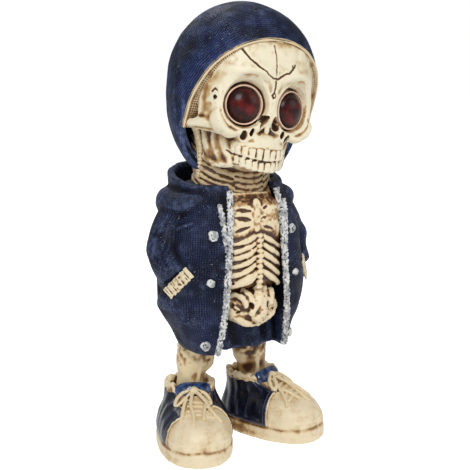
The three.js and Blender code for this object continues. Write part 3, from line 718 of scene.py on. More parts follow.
# Hairline cracks of the brow, as u, w.
CRACKS = [
    [
        (-13.3, 8.6), (-10.6, 5.3), (-8.9, 4.2), (-7.7, 3.2), (-6.9, 2.9), (-6.0, 2.3), (-5.0, 1.9),
        (-4.3, 1.1), (-2.1, 0.2), (-0.4, 0.2), (0.7, 1.1), (1.8, 1.9), (2.9, 2.4), (3.5, 2.5),
        (4.3, 3.5), (4.9, 3.9), (5.5, 5.2),
    ],
    [(4.7, 4.0), (4.5, 5.0)],
    [
        (-1.0, -0.4), (-0.6, -2.3), (-0.5, -3.9), (-1.0, -4.9), (-0.6, -5.7), (0.0, -5.4),
        (0.1, -4.7), (-0.4, -4.2),
    ],
]
FINE_CRACKS = [[(-2.6, 10.2), (-2.2, 7.8), (-1.6, 4.5), (-1.1, 0.6)]]
# A crease down each side of the forehead and a small hooked pit at each temple, as u, v, w.
SIDE_CREASE = [(16.6, 15.0, 6.6), (17.9, 14.0, 3.6), (18.6, 13.2, 2.0), (19.1, 12.5, 0.5), (19.6, 11.9, -1.2)]
TEMPLE_HOOK = [(18.9, 13.2, -5.6), (18.5, 13.9, -4.7), (18.0, 14.5, -5.2), (17.8, 14.7, -6.4)]

# The arch of the teeth, and the mouth line, which climbs to its corners.
ARCH_BACK_V = 4.0
ARCH_SQUARE = 2.6
MOUTH_W = -25.9
MOUTH_CLIMB = 2.6
# Count, pitch, spacing, height, front v, half width and way the tips point of each row of teeth.
TOOTH_ROWS = [(13, 2.36, 1.08, 4.3, 18.7, 10.6, -1), (14, 2.16, 1.04, 3.7, 18.0, 10.4, 1)]
TOOTH_DEPTH = 1.7
# Front, half width, height, climb and radius of the bars of bone that carry the teeth.
JAW_ARCHES = [
    (16.4, 9.6, -19.6, 1.0, 1.5),
    (16.9, 9.9, -21.6, 1.4, 1.7),
    (16.9, 9.7, -23.6, 2.2, 1.8),
    (16.2, 9.3, -25.6, 2.6, 1.7),
    (16.1, 9.3, -27.2, 2.4, 1.6),
]


def at(u, v, w):
    """A head point as x, y, z in the head's unturned frame."""
    return (u, -v, w)


def head_spots(p):
    return p[:, 0], -p[:, 1], p[:, 2]


def head_rope(spots, thickness, sides=12):
    return rope([at(*spot) for spot in spots], thickness, sides)


def eye_matrix():
    """A place at one eye whose own +Z looks out of the socket."""
    out = Vector(at(math.sin(EYE_SPLAY), math.cos(EYE_SPLAY), 0))
    across = Vector((0, 0, 1)).cross(out).normalized()
    turn = Matrix((across, out.cross(across), out)).transposed().to_4x4()
    return Matrix.Translation(at(*EYE_AT)) @ turn


def cranium():
    """The rounded box of the skull, drawn in below."""
    def shape(p, out):
        x, y, z = p.T
        around = np.arctan2(y, x)
        w = np.where(z > 0, z * SKULL_TOP, z * SKULL_BOTTOM)
        level = np.where(z > 0, rounded(np.clip(z, 0, 1), 2.6), rounded(np.clip(-z, 0, 1), 6))
        level = np.where(np.hypot(x, y) < 1e-5, 0, level)
        half, front, back, square = between(SKULL_SECTIONS, w)
        ahead = np.sin(around) < 0
        across, along = ring(around, np.where(ahead, square, 2))
        return columns(level * half * across, level * np.where(ahead, front, back) * along, w)

    return sculpt(unit_ball(96, 72), shape)


def face_relief(p, out):
    """Raises a flat rim round each eye and swells the cheeks, nose and brow."""
    u, v, w = head_spots(p)
    side = np.abs(u)
    ahead = ease(v, 5, 9)
    plane = EYE_AT[1] + 1.1 - math.tan(EYE_SPLAY) * (side - EYE_AT[0])
    plane = plane + 0.5 * np.clip(v - plane, 0, None)
    away = np.hypot(side - EYE_AT[0], w - EYE_AT[2])
    at_rim = (1 - ease(away, 8.2, 11.0)) * ahead
    raised = v + (plane - v) * at_rim
    for across, up, spread_u, spread_w, rise in FACE_RELIEF:
        far = ((side - across) / spread_u) ** 2 + ((w - up) / spread_w) ** 2
        raised = raised + rise * np.exp(-far) * (1 - at_rim) * ahead
    return columns(u, -raised, w)


def tooth(u, v, w, turn, width, height, tip):
    """One rounded tooth, standing on its own spot of the jaw and facing outward."""
    bpy.ops.mesh.primitive_cube_add(size=1)
    piece = scaled(bpy.context.object, (width, TOOTH_DEPTH, height))
    apply_modifier(piece, "BEVEL", width=0.31 * min(width, height), segments=3, limit_method="NONE")

    def shape(p, out):
        share = np.clip(0.5 + tip * p[:, 2] / height, 0, 1)
        p[:, 0] *= 1 - 0.09 * share
        p[:, 1] += 0.14 * share
        return p

    return moved(sculpt(piece, shape), Matrix.Translation(at(u, v, w)) @ Matrix.Rotation(turn, 4, "Z"))


def arch_spot(distance, front, half_width):
    """The arch's (u, v) and outward turn at a distance along it from the middle."""
    steps = np.linspace(0, math.pi / 2, 400)
    u = half_width * squared(np.sin(steps), ARCH_SQUARE)
    v = ARCH_BACK_V + (front - ARCH_BACK_V) * squared(np.cos(steps), ARCH_SQUARE)
    run = travelled(u, v)
    here_u, here_v, ahead_u, ahead_v = (
        np.interp(abs(distance) + step, run, line) for step in (0, 0.05) for line in (u, v)
    )
    side = 1 if distance >= 0 else -1
    return side * here_u, here_v, side * math.atan2(here_v - ahead_v, ahead_u - here_u)


def teeth():
    """Two close rows that meet at a thin mouth line."""
    pieces = []
    for count, pitch, spacing, height, front, half_width, tip in TOOTH_ROWS:
        for i in range(count):
            place = (i - (count - 1) / 2) * pitch * spacing
            u, v, turn = arch_spot(place * (1 - 0.008 * abs(place)), front, half_width)
            jitter = scatter(np.array([[i, count + tip, 3.0]]), 5)[0] - 0.5
            width = pitch * 1.05 * (1 - 0.018 * abs(place))
            tall = height * (1 - 0.022 * abs(place)) + 0.3 * jitter
            w = MOUTH_W + MOUTH_CLIMB * (place / 14.5) ** 2 - tip * (tall / 2 - 0.12)
            pieces.append(tooth(u, v - 0.35 + 0.15 * jitter, w, turn, width, tall, tip))
    return pieces


def jaw_arch(front, half_width, w, climb, radius, reach=15):
    spots = []
    for s in np.linspace(-reach, reach, 19):
        u, v, _ = arch_spot(s, front, half_width)
        spots.append((u, v, w + climb * (s / 14.5) ** 2))
    return head_rope(spots, radius)


# Bars of one side of the head, as points (u, v, w) and radii.
SIDE_BARS = [
    # the cheekbone's arch back to the hood's tip, above and below
    ([(14.0, 14.2, -14.8), (18.4, 11.4, -15.2), (20.8, 7.4, -15.6), (21.9, 3.8, -15.6)],
     [2.6, 2.1, 1.7, 1.4]),
    ([(13.0, 13.4, -17.2), (17.2, 10.6, -16.9), (20.2, 6.6, -16.7), (21.6, 3.4, -16.2)],
     [1.6, 1.3, 1.1, 0.9]),
    # the side of the head behind the cheek, down to the arch
    ([(19.0, 9.6, -2.0), (19.3, 9.0, -7.0), (19.6, 8.6, -12.0), (19.4, 7.6, -15.4)],
     [1.6, 1.6, 1.3, 1.2]),
    # strands from the arch down to the jaw
    ([(11.8, 9.6, -16.6), (11.6, 9.7, -20.2), (10.6, 11.0, -24.2), (8.8, 12.4, -27.4)],
     [2.1, 2.0, 1.9, 1.6]),
    ([(13.0, 7.4, -16.6), (12.8, 7.5, -20.8), (11.9, 8.8, -25.0), (10.2, 10.4, -28.0)],
     [2.3, 2.2, 2.1, 1.8]),
    ([(14.4, 4.6, -16.5), (14.1, 4.6, -21.0), (13.2, 5.8, -25.4), (11.6, 7.8, -28.4)],
     [2.2, 2.1, 2.0, 1.7]),
    # the lower edge of the jaw, and a strap behind the teeth
    ([(13.4, 3.6, -25.4), (12.8, 6.8, -27.4), (10.7, 10.2, -27.9), (8.4, 12.6, -27.4)],
     [2.0, 2.1, 1.8, 1.1]),
    ([(10.4, 9.4, -18.5), (10.8, 10.2, -21.4), (9.6, 12.2, -24.2)], [1.5, 1.3, 1.0]),
]
# Cheek, its lower corner, temple, the jaw's branch and the upper jaw's side: place and radii.
SIDE_BALLS = [
    ((14.6, 13.2, -13.8), (4.6, 4.2, 4.4)),
    ((12.4, 14.4, -17.0), (3.4, 2.5, 2.4)),
    ((16.6, 9.4, -5.0), (3.6, 4.2, 5.2)),
    ((12.0, 5.6, -21.8), (2.6, 5.0, 8.0)),
    ((5.8, 12.0, -18.6), (4.2, 5.0, 2.6)),
]
# Nostril, two holes beside it, ear and the temple's pit: place, radii and lean.
SIDE_HOLES = [
    ((2.15, 17.9, -13.4), (1.25, 2.7, 2.8), -math.radians(26)),
    ((8.2, 17.4, -18.3), (1.05, 2.8, 1.7), 0.3),
    ((5.8, 17.8, -16.9), (0.8, 2.4, 1.3), -0.1),
    ((21.4, 6.6, -12.9), (2.0, 1.9, 1.7), 0),
    ((18.2, 14.0, -7.3), (1.0, 0.85, 0.95), 0),
]


def head_ball(spot, radii, lean=0):
    return ball(at(*spot), radii, lean=(0, lean, 0))


def skull():
    side = [head_rope(*bar) for bar in SIDE_BARS] + [head_ball(*place) for place in SIDE_BALLS]
    pieces = [cranium(), *both(side)]
    # the upper jaw between the cheekbones and the teeth, and the arches that carry the teeth
    pieces.append(head_ball((0, 7.2, -18.6), (9.6, 10.2, 4.0)))
    pieces.append(head_ball((0, 6.2, -23.5), (9.6, 10.6, 6.6)))
    pieces += [jaw_arch(*arch) for arch in JAW_ARCHES]
    nose = [(0, 17.6, -6.5), (0, 17.9, -9.6), (0, 17.2, -12.8), (0, 17.0, -16.6)]
    pieces.append(head_rope(nose, (1.6, 1.15, 0.8, 1.0)))
    piece = sculpt(fused(pieces, 0.45, 6), face_relief)
    bowl = [
        (0, -2.2), (SOCKET_RADIUS, -2.2), (SOCKET_RADIUS + 0.1, -0.5), (SOCKET_RADIUS + 0.8, 1.1),
        (SOCKET_RADIUS + 2.4, 3.0), (SOCKET_RADIUS + 5.0, 12), (0, 12),
    ]
    socket = moved(turned(bowl), eye_matrix() @ Matrix.Translation((-0.35, 0.25, 0)))
    carve(piece, both([socket, *(head_ball(*hole) for hole in SIDE_HOLES)]))
    return sculpt(fused([piece, *teeth()], 0.26, 1), carve_cracks)


def crack_share(p, paths, narrow, wide):
    """1 on the front of the face along the cracks, falling to 0 away from them."""
    wander = columns(lumps(p, 0.9, 4), lumps(p, 0.9, 9)) * 0.10
    flat = columns(p[:, 0], p[:, 2]) + wander
    share = np.zeros(len(p))
    for path in paths:
        share = np.maximum(share, 1 - ease(line_distance(flat, path), narrow, wide))
    return share * (-p[:, 1] > 12)


def side_share(p, path, narrow, wide):
    """As crack_share, for a path of (u, v, w) that is on both sides."""
    folded = columns(np.abs(p[:, 0]), p[:, 1], p[:, 2])
    return 1 - ease(line_distance(folded, [at(*spot) for spot in path]), narrow, wide)


def mouth_line(u):
    return MOUTH_W + MOUTH_CLIMB * (u / 11.5) ** 2


def carve_cracks(p, out):
    """Presses the hairline cracks, creases and pores into the skull."""
    u, v, w = head_spots(p)
    depth = 0.40 * crack_share(p, CRACKS, 0.06, 0.38) + 0.14 * crack_share(p, FINE_CRACKS, 0.05, 0.3)
    mouth = mouth_line(u) + 0.15 * lumps(p, 1.6, 12)
    depth = depth + 0.34 * bell(w - mouth, 0.22) * (v > 8) * (np.abs(u) < 11.5)
    depth = depth + 0.35 * side_share(p, SIDE_CREASE, 0.1, 0.6)
    depth = depth + 0.5 * side_share(p, TEMPLE_HOOK, 0.15, 0.5)
    uneven = 0.16 * lumps(p, 4.2, 2) + 0.07 * lumps(p, 1.6, 6) + 0.10 * ease(-w, 14, 18) * lumps(p, 2.2, 8)
    return p + out * (uneven - depth)[:, None]


def build_head():
    piece = skull()
    p = corners(piece)
    u, v, w = head_spots(p)
    side = np.abs(u)
    crack = crack_share(p, CRACKS, 0.08, 0.42) + 0.55 * crack_share(p, FINE_CRACKS, 0.06, 0.4)
    crack = crack + 0.8 * side_share(p, SIDE_CREASE, 0.15, 0.8) + side_share(p, TEMPLE_HOOK, 0.2, 0.6)
    # Painted shade: under the cheekbones, in the groove and at the lower outer edge of each eye socket, where
    # the skull meets the hood's rim, and mottled on the back and underside of the jaw.
    shade_under_cheek = ease(-w, 16.5, 19.5) * ease(side, 9, 12) * (1 - ease(v, 11, 14))
    temple = ease(side, 16, 19) * (1 - ease(v, 12, 15)) * (1 - ease(w, 2, 8))
    eye_away = np.hypot(side - EYE_AT[0], w - EYE_AT[2])
    lower_outer = ease((side - EYE_AT[0]) * 0.6 - (w - EYE_AT[2]) * 0.8, -2, 5)
    socket_groove_shade = (1 - ease(eye_away, 6.9, 7.7)) * (v > 8) * (0.9 * lower_outer - 0.25)
    socket_edge_shade = 0.5 * (1 - ease(eye_away, 7.6, 10.5)) * (v > 8) * lower_outer
    nose = np.exp(-(((side - 2.2) / 2.4) ** 2 + ((w + 13.8) / 3.4) ** 2)) * (v > 12)
    rim_share = (v - RIM_TIP[0]) * 0.866 - (w - RIM_TIP[1]) * 0.5
    shade_under_hood_rim = ease(-rim_share, -2.6, 0.4) * (w > -14)
    lips = bell(w - mouth_line(u), 0.32) * (v > 8) * (side < 12)
    tooth_rows = ease(v, 12, 14) * ease(-w, 20.6, 21.4)
    shade_under_jaw = 1.7 * ease(-w, 22, 27) * (1 - ease(v, 9, 15)) * (0.75 + 0.5 * lumps(p, 2.4, 7))
    arch_end = 0.45 * ease(side, 17.5, 20.5) * ease(-w, 13, 15)
    extra = 1.7 * crack + 0.75 * shade_under_cheek + 0.55 * temple + socket_groove_shade + socket_edge_shade + 0.45 * nose
    extra = extra + 0.6 * shade_under_hood_rim + 0.8 * lips - 0.1 * tooth_rows + shade_under_jaw + arch_end - 0.05
    finished(stained_and_shaded(piece, 0.95, 0.85, extra), "skull", bone_paint(), in_head=True)


def build_lenses():
    """Two domed red lenses, each in a pale thin ring."""
    dome = [(0, -2.0), (LENS_RADIUS, -2.0)]
    for angle in np.radians(np.linspace(7.5, 82.5, 11)):
        dome.append((LENS_RADIUS * math.cos(angle), -1.4 + 3.5 * math.sin(angle)))
    dome.append((0, 2.1))
    hoop = [
        (RING_RADIUS + 0.27 * math.cos(t), -0.35 + 0.42 * math.sin(t))
        for t in np.linspace(0, math.tau, 13)
    ]
    inner, outer = LENS_RADIUS + 0.25, RING_RADIUS + 0.15
    cup = [(inner, -2.1), (outer, -2.1), (outer, -0.4), (inner, -0.4), (inner, -2.1)]
    lens = moved(turned(dome), eye_matrix())
    rim = joined([moved(turned(outline), eye_matrix()) for outline in (hoop, cup)])
    red = lens_paint()
    pink = bone_paint("ring_paint", pale=RING_PINK, gloss=0.3)
    for side, sign, lens, rim in zip(("left", "right"), (1, -1), both([lens]), both([rim])):
        centre = np.array(at(sign * EYE_AT[0], EYE_AT[1], EYE_AT[2]))
        # The painted glow: brightest red in the dome's middle, darker at its rim.
        note(lens, "glow", ease(np.linalg.norm(corners(lens) - centre, axis=1), 3.2, 5.6))
        done = finished(lens, "eye_lens_" + side + "_dome", red, in_head=True)
        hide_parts("eye_lens_" + side)
        finished(stained_and_shaded(rim, extra=0.1), "eye_ring_" + side, pink, in_head=True)


# The hood

HOOD_HALF_WIDTH = 25.2
HOOD_FRONT = 23.3
HOOD_BACK = 23.5
HOOD_TOP = 25.1
HOOD_DROP = 34.0
HOOD_FULL_SIDE = 2.6
HOOD_FULL_NAPE = 1.6
HOOD_WALL = 1.9
# The rim in side view, as v, w, and how far it bows.
RIM_TOP = (20.3, 12.4)
RIM_TIP = (4.2, -16.2)
RIM_BOW = -0.8
SIDE_EDGE_V = 1.4

# Long soft folds raised on the hood: points in the head's frame, width and height.
HOOD_FOLDS = [
    ([(-23.5, -4, -2), (-23.2, -5, -12), (-20.5, -4.5, -23)], 1.3, 0.5),
    ([(-24.2, 1, 2), (-23.6, 0, -10), (-20.2, -1, -22)], 1.5, 0.4),
    ([(-22.5, 8, -4), (-20.5, 8, -16), (-16, 8, -26)], 1.8, 0.5),
    ([(-13, -19, 12), (-6, -14, 20.5), (4, -10, 23)], 2.2, 0.25),
    ([(23.5, -4, -2), (23.2, -5, -12), (20.5, -4.5, -23)], 1.3, 0.45),
    ([(22.5, 8, -4), (20.5, 8, -16), (16, 8, -26)], 1.8, 0.5),
    ([(0, 23, 0), (0, 20.5, -12), (0, 14, -24)], 2.8, 0.35),
    ([(12, 20, 2), (9, 18.5, -12), (7, 12.5, -25)], 2.8, 0.35),
    ([(-12, 20, 2), (-9, 18.5, -12), (-7, 12.5, -25)], 2.8, 0.35),
]
# The beaded edge behind the jaw, as u, v, w.
BEADED_PATH = [
    (19.4, 2.4, -15.4), (17.2, 2.2, -17.2), (15.9, 2.0, -20.4), (14.6, 2.0, -24.3),
    (13.9, 1.0, -28.6), (12.9, -0.6, -32.6), (11.2, -2.6, -34.5),
]


def hood_section(w):
    """Half width, front and back of the hood at heights w."""
    depth = np.clip(-w / HOOD_DROP, 0, 1)
    dome = np.sqrt(np.clip(1 - (np.clip(w, 0, None) / HOOD_TOP) ** 2, 0, 1))
    side, nape = rounded(depth, HOOD_FULL_SIDE), rounded(depth, HOOD_FULL_NAPE)
    return HOOD_HALF_WIDTH * side * dome, HOOD_FRONT * side * dome, HOOD_BACK * nape * dome


def hood_ball(inset):
    def shape(p, out):
        x, y, z = p.T
        across, along = ring(np.arctan2(y, x), 2)
        w = np.where(z > 0, z * (HOOD_TOP - inset), z * (HOOD_DROP - inset))
        wide, front, back = hood_section(w * (HOOD_TOP / (HOOD_TOP - inset)))
        level = np.where(np.hypot(x, y) < 1e-5, 0, 1)
        reach = np.clip(np.where(along < 0, front, back) - inset, 0, None)
        return columns(level * across * np.clip(wide - inset, 0, None), level * along * reach, w)

    return sculpt(unit_ball(128, 96), shape)


def rim_curve(share):
    """The rim in side view, as (v, w) from its lower tip at 0 to the top at 1."""
    bow = RIM_BOW * np.sin(np.pi * share)
    v = RIM_TIP[0] + (RIM_TOP[0] - RIM_TIP[0]) * share + 0.85 * bow
    return v, RIM_TIP[1] + (RIM_TOP[1] - RIM_TIP[1]) * share - 0.53 * bow


def rim_spots(share):
    """The hood's outer edge from its left tip over the top to the right, as x, y, z."""
    v, w = rim_curve(share)
    wide, front, _ = hood_section(w)
    u = wide * np.sqrt(np.clip(1 - (v / front) ** 2, 0, 1))
    return np.concatenate([columns(u, -v, w), columns(-u, -v, w)[::-1][1:]])


def weave_round_head(p):
    """Cloth coordinates whose rows run along the hood's rim, in millimetres."""
    ahead = p @ np.array([0, -0.849, -0.527])
    height = p @ np.array([0, -0.527, 0.849])
    row = np.arccos(np.clip(ahead / np.linalg.norm(p, axis=1), -1, 1)) * 25
    return columns(row, np.arctan2(height, p[:, 0]) * 25, 0.0)


def hood():
    piece = hood_ball(0)
    edge = [(-v, w) for v, w in zip(*rim_curve(np.linspace(1, 0.02, 14)))]
    tip = [(-SIDE_EDGE_V - 1.0, RIM_TIP[1] - 1.0), (-SIDE_EDGE_V - 0.2, RIM_TIP[1] - 3), (-SIDE_EDGE_V, -60)]
    corner = RIM_TOP[1] + 9
    window = prism([(-60, -60), (-60, corner), (-RIM_TOP[0] - 9, corner), *edge, *tip], -40, 40)
    # the hollow stays in front of the nape and below the rim's tip
    hollow = hood_ball(HOOD_WALL)
    low = RIM_TIP[1] - 0.5
    carve(hollow, [prism([(-60, low), (60, low), (60, 60), (-60, 60)], -60, 60)])
    carve(hollow, [prism([(7, -60), (60, -60), (60, 60), (7, 60)], -60, 60)])
    carve(piece, [window, hollow])

    def folds(p):
        fade = np.where(p[:, 2] > 8, 1, ease(-p[:, 2], -3, 14))
        return raised_by(p, 0.22 * lumps(p, 9, 3) + 0.10 * lumps(p, 3.2, 7), HOOD_FOLDS, fade)

    return swell(fused([piece], 0.38, 3), folds)


def window_spot(u, run, ahead):
    """A point of the hood's cut face: u across, run along the rim from its tip, and ahead of the face."""
    share = np.linspace(-0.12, 1, 200)
    v, w = rim_curve(share)
    length = travelled(v, w)
    length -= np.interp(0, share, length)
    at_v, at_w, out_v, out_w = (
        np.interp(run, length, line) for line in (v, w, np.gradient(w, length), -np.gradient(v, length))
    )
    return columns(u, -(at_v + ahead * out_v), at_w + ahead * out_w)


def hood_lining():
    """The turned edge of the hood: a cream lip, and a band of net between it and the skull."""
    share = np.linspace(-0.03, 1, 140)
    edge_u = rim_spots(share)[:, 0]
    climb = travelled(*rim_curve(share))
    climb -= np.interp(0, share, climb)
    edge_run = np.concatenate([climb, climb[::-1][1:]])
    around = travelled(edge_u, edge_run)
    toward_u, toward_run = -edge_u, -np.clip(edge_run - 9, 0, None)
    size = np.hypot(toward_u, toward_run)
    reaches = np.concatenate([np.linspace(-0.4, 0.6, 10), np.linspace(0.8, 6.4, 20)])
    points, weave = [], []
    for reach in reaches:
        ahead = 0.30 + 0.42 * bell(reach, 0.28) + 0.8 * ease(-edge_run, -10, -3) - 0.05 * max(reach, 0)
        u, run = edge_u + toward_u / size * reach, edge_run + toward_run / size * reach
        points.append(window_spot(u, run, ahead))
        weave.append(columns(around, reach, ease(reach, 0.25, 0.5)))
    count = len(edge_u)
    faces = [
        (low + i, low + i + 1, low + count + i + 1, low + count + i)
        for low in range(0, count * (len(reaches) - 1), count)
        for i in range(count - 1)
    ]
    piece = meshed(np.concatenate(points), [], faces)
    note(piece, "weave", np.concatenate(weave))
    if outward(piece)[:, 1].mean() > 0:
        piece.data.flip_normals()
    apply_modifier(piece, "SOLIDIFY", thickness=1.0, offset=-1)
    return swell(piece, lambda p: 0.07 * lumps(p, 1.7, 3))


def beaded_edge():
    """The lining's beaded edge that comes down inside the hood behind the jaw."""
    pieces = [head_rope(BEADED_PATH, 1.15)]
    knots = np.linspace(0, 1, len(BEADED_PATH))
    for share in np.linspace(0, 1, 22):
        u, v, w = (float(np.interp(share, knots, line)) for line in zip(*BEADED_PATH))
        pieces.append(ball(at(u + 0.3, v + 0.85, w), (0.95, 0.75, 0.5), segments=12, rings=8))
    return fused(both(pieces), 0.25, 1)


def build_hood():
    piece = hood()
    p = corners(piece)
    weave = weave_round_head(p)
    weave[:, 2] = 0.15 + 0.85 * ease(line_distance(p, rim_spots(np.linspace(0, 1, 40))), 1.2, 2.4)
    note(piece, "weave", weave)
    # Painted shadow: the hood's inner wall below the face, where it faces forward, is darkened.
    painted_hood_shadow = ease(-p[:, 2], 15, 19) * ease(22.5 - np.abs(p[:, 0]), 0.6, 2.2)
    painted_hood_shadow = painted_hood_shadow * ease(-outward(piece)[:, 1], -0.2, 0.3)
    stained_and_shaded(piece, fine=0.3, broad=0.3, extra=painted_hood_shadow * 1.5)
    band = hood_lining()
    stained_and_shaded(band, fine=0.4, broad=0.3, extra=0.1 + 0.7 * ease(-corners(band)[:, 2], 9, 15))
    beads = stained_and_shaded(beaded_edge(), fine=0.9, broad=0.6, extra=0.3)
    finished(piece, "hood", cloth_paint(), in_head=True)
    finished(band, "hood_edge_net", net_paint(), in_head=True)
    finished(beads, "hood_beaded_edge", bone_paint("beaded_edge_paint", pale=NET_CREAM), in_head=True)


# The jacket

# Height, half width, front y, back y and squareness of the jacket's level sections.
JACKET_SECTIONS = [
    (34.4, 18.0, -14.8, 14.4, 2.6),
    (37, 19.4, -15.8, 15.4, 2.5),
    (41, 21.2, -16.2, 17.0, 2.4),
    (48, 25.2, -16.7, 18.2, 2.4),
    (56, 26.6, -17.0, 18.4, 2.4),
    (64, 25.4, -17.0, 18.2, 2.4),
    (72, 24.6, -16.8, 18.0, 2.3),
    (80, 22.4, -16.4, 17.4, 2.2),
    (86, 19.2, -15.6, 16.2, 2.2),
    (91, 16.0, -14.6, 14.0, 2.2),
]
# Half width of the front opening at a height.
OPENING_EDGE = [(36, 12.9), (53, 11.6), (73, 10.1), (90, 8.7)]
OPENING_WALL_Y = -7.0
# Middle line of a sleeve, as x, y, z, and its radius there.
SLEEVE = [
    ((14.5, 2.4, 85), 6.4),
    ((19.6, 2.6, 79), 7.5),
    ((22.8, 3.2, 72), 7.2),
    ((24.0, 2.2, 67), 6.6),
    ((24.2, -1.6, 63.6), 6.0),
    ((23.8, -5.0, 60.8), 5.2),
]
COLLAR_Y = 4.4
COLLAR_HALF = (19.4, 16.8)
COLLAR_WALL = 2.2
# Height of the collar's top in front and at the back.
COLLAR_TOPS = (89.0, 96.8)
COLLAR_FLARE = 0.9
COLLAR_BOTTOM = 82.0
# The rolled edge's height in front, at the back and at the sides.
ROLL_LEVELS = (87.4, 83.6, 84.2)

# Seams and folds of the jacket, on one side and in the middle: points, width and rise.
JACKET_FOLDS = [
    *two_sided([
        ([(12.5, -17, 80.5), (16, -15, 81.6), (20, -10, 80), (23, -4, 77)], 0.5, 0.65),
        ([(30.4, 0.5, 70.6), (30.4, 0.5, 71.0)], 3.4, 1.9),
        ([(28, -6, 58.5), (27, 0, 55.5), (26, 6, 55)], 2.3, -1.7),
        ([(27.5, -3, 51.5), (27, 4, 50)], 2.4, 0.8),
        ([(17, -17, 66), (20, -15.5, 62.5)], 1.2, -0.6),
        ([(27, -8, 63), (25, -12, 58), (20, -16, 54)], 0.45, -0.5),
        ([(26.5, -8, 70), (25.5, -11, 66), (22, -14, 63)], 1.8, 0.7),
        ([(19, -15.6, 53.5), (22, -13, 50), (24, -8, 46)], 1.0, -0.5),
        ([(27, 4, 60), (25, 4, 48), (21, 4, 37)], 3.2, 0.45),
        ([(18, 14, 58), (15, 14, 46), (12, 14, 36)], 3.2, 0.45),
    ]),
    ([(0, 19, 60), (0, 18.5, 48), (0, 15.5, 36)], 3.2, 0.45),
]

# Spacing of the crumbs on the silver trims.
TRIM_CRUMB = 0.86
CUFF_CENTRE = (24.2, -7.2, 59.9)
CUFF_ACROSS = (-5.8, -5.8, 8.3)
CUFF_OUT = (0.74, -0.64, 0.14)
CUFF_RIBS = 13
CUFF_PITCH = 0.88
# Place and scale of the studs: x, z and scale; and their half outline as radius, height.
STUDS = [(15.2, 75.3, 1.0), (16.4, 60.2, 0.8), (16.5, 38.2, 1.0)]
STUD_OUTLINE = [(0, -1), (1.6, -1), (1.7, 0.3), (1.4, 0.8), (0.9, 0.95), (0.75, 0.7), (0.35, 1.15), (0, 1.2)]


def jacket_level(turn, share):
    z = JACKET_SECTIONS[0][0] + (JACKET_SECTIONS[-1][0] - JACKET_SECTIONS[0][0]) * share
    half, front, back, square = between(JACKET_SECTIONS, z)
    across, along = ring(turn, square)
    return half * across, (front + back) / 2 + (back - front) / 2 * along, z


def jacket_front(x, z):
    """The point of the jacket's front at x and height z."""
    half, front, back, square = between(JACKET_SECTIONS, z)
    share = rounded(min(abs(x), half) / half, square)
    return x, float((front + back) / 2 - share * (back - front) / 2), z


def collar_wall(inset, low, over):
    def spot(turn, share):
        backward = (1 + np.sin(turn)) / 2
        top = COLLAR_TOPS[0] + (COLLAR_TOPS[1] - COLLAR_TOPS[0]) * backward + over
        flare = COLLAR_FLARE * share
        x = (COLLAR_HALF[0] - inset + flare) * np.cos(turn)
        y = COLLAR_Y + (COLLAR_HALF[1] - inset + flare) * np.sin(turn)
        return x, y, low + (top - low) * share

    return lofted(spot, 96, 16)


def roll_spots(turn):
    """The middle line of the collar's rolled edge."""
    level = ROLL_LEVELS[0] + (ROLL_LEVELS[1] - ROLL_LEVELS[0]) * (1 + np.sin(turn)) / 2
    z = level + (ROLL_LEVELS[2] - level) * np.cos(turn) ** 2
    return columns(21.0 * np.cos(turn), 3.4 + 13.6 * np.sin(turn), z)


def jacket():
    arc = np.radians(np.linspace(-62, 242, 25))
    swelling = 2.6 + 2.8 * np.sin(np.linspace(0, np.pi, 25)) ** 0.6
    roll = rope(roll_spots(arc), swelling, 24)
    sleeve = rope(*zip(*SLEEVE), 32)
    shell = carve(collar_wall(0, COLLAR_BOTTOM, 0), [collar_wall(COLLAR_WALL, 87.5, 3)])
    piece = fused([lofted(jacket_level, 128, 90), roll, shell, *both([sleeve])], 0.5, 5)
    edge = [(float(between(OPENING_EDGE, z)[0]), z) for z in np.linspace(36, 100, 9)]
    outline = [(-12.9, 20), (12.9, 20), *edge, *[(-x, z) for x, z in reversed(edge)]]

    def under_hem(turn, share):
        across, along = ring(turn, 3)
        return (14.6 - 2 * share) * across, 1 + (12.2 - 2 * share) * along, 20 + 18 * share

    carve(piece, [front_prism(outline, -60, OPENING_WALL_Y), lofted(under_hem, 48, 12)])

    def folds(p):
        return raised_by(p, 0.28 * lumps(p, 8, 3) + 0.12 * lumps(p, 3, 7), JACKET_FOLDS)

    return swell(fused([piece], 0.45, 2), folds)


def trims():
    """Crumbly silver strips along both edges of the opening and the lapels, and the gaps in them."""
    edge = []
    for z in np.linspace(35.0, 89.5, 24):
        x, y, z = jacket_front(float(between(OPENING_EDGE, z)[0]) + 0.3, z)
        edge.append((x, y - 0.35, z))
    lapel = []
    for z in np.linspace(70, 85.5, 9):
        x, y, z = jacket_front(11.6 + 0.06 * (z - 72), z)
        lapel.append((x, y - 0.1, z))
    strips = [rope(edge, 1.05, 16), rope(lapel, [0.3, 0.7, 0.85, 0.9, 0.9, 0.9, 0.9, 0.85, 0.6], 16)]
    piece = fused(both(strips), 0.2, 0)
    gaps = crumbs(corners(piece), TRIM_CRUMB, 2)
    swell(piece, lambda p: 0.42 - 0.85 * np.clip(gaps, 0, 1) + 0.12 * lumps(p, 2.5, 4))
    return piece, gaps


def cuff():
    """The ribbed band of a sleeve, tucked into the slanted pocket."""
    across = Vector(CUFF_ACROSS).normalized()
    along = Vector(CUFF_OUT).cross(across).normalized()
    turn = Matrix((across, along, across.cross(along))).transposed().to_4x4()
    pieces = [ball((0, 0, -0.3), (5.8, 2.5, 1.75))]
    for i in range(CUFF_RIBS):
        place = (i - CUFF_RIBS // 2) * CUFF_PITCH + 0.1 * math.sin(i * 4.1)
        low, high = 2.05 + 0.14 * math.sin(i * 2.3), 2.05 + 0.14 * math.cos(i * 3.1)
        rib = [(place, -low, 0.8), (place + 0.1, 0, 1.4), (place, high, 0.8)]
        pieces.append(rope(rib, 0.40 + 0.07 * math.sin(i * 3)))
    return moved(fused(pieces, 0.22, 0), Matrix.Translation(CUFF_CENTRE) @ turn)


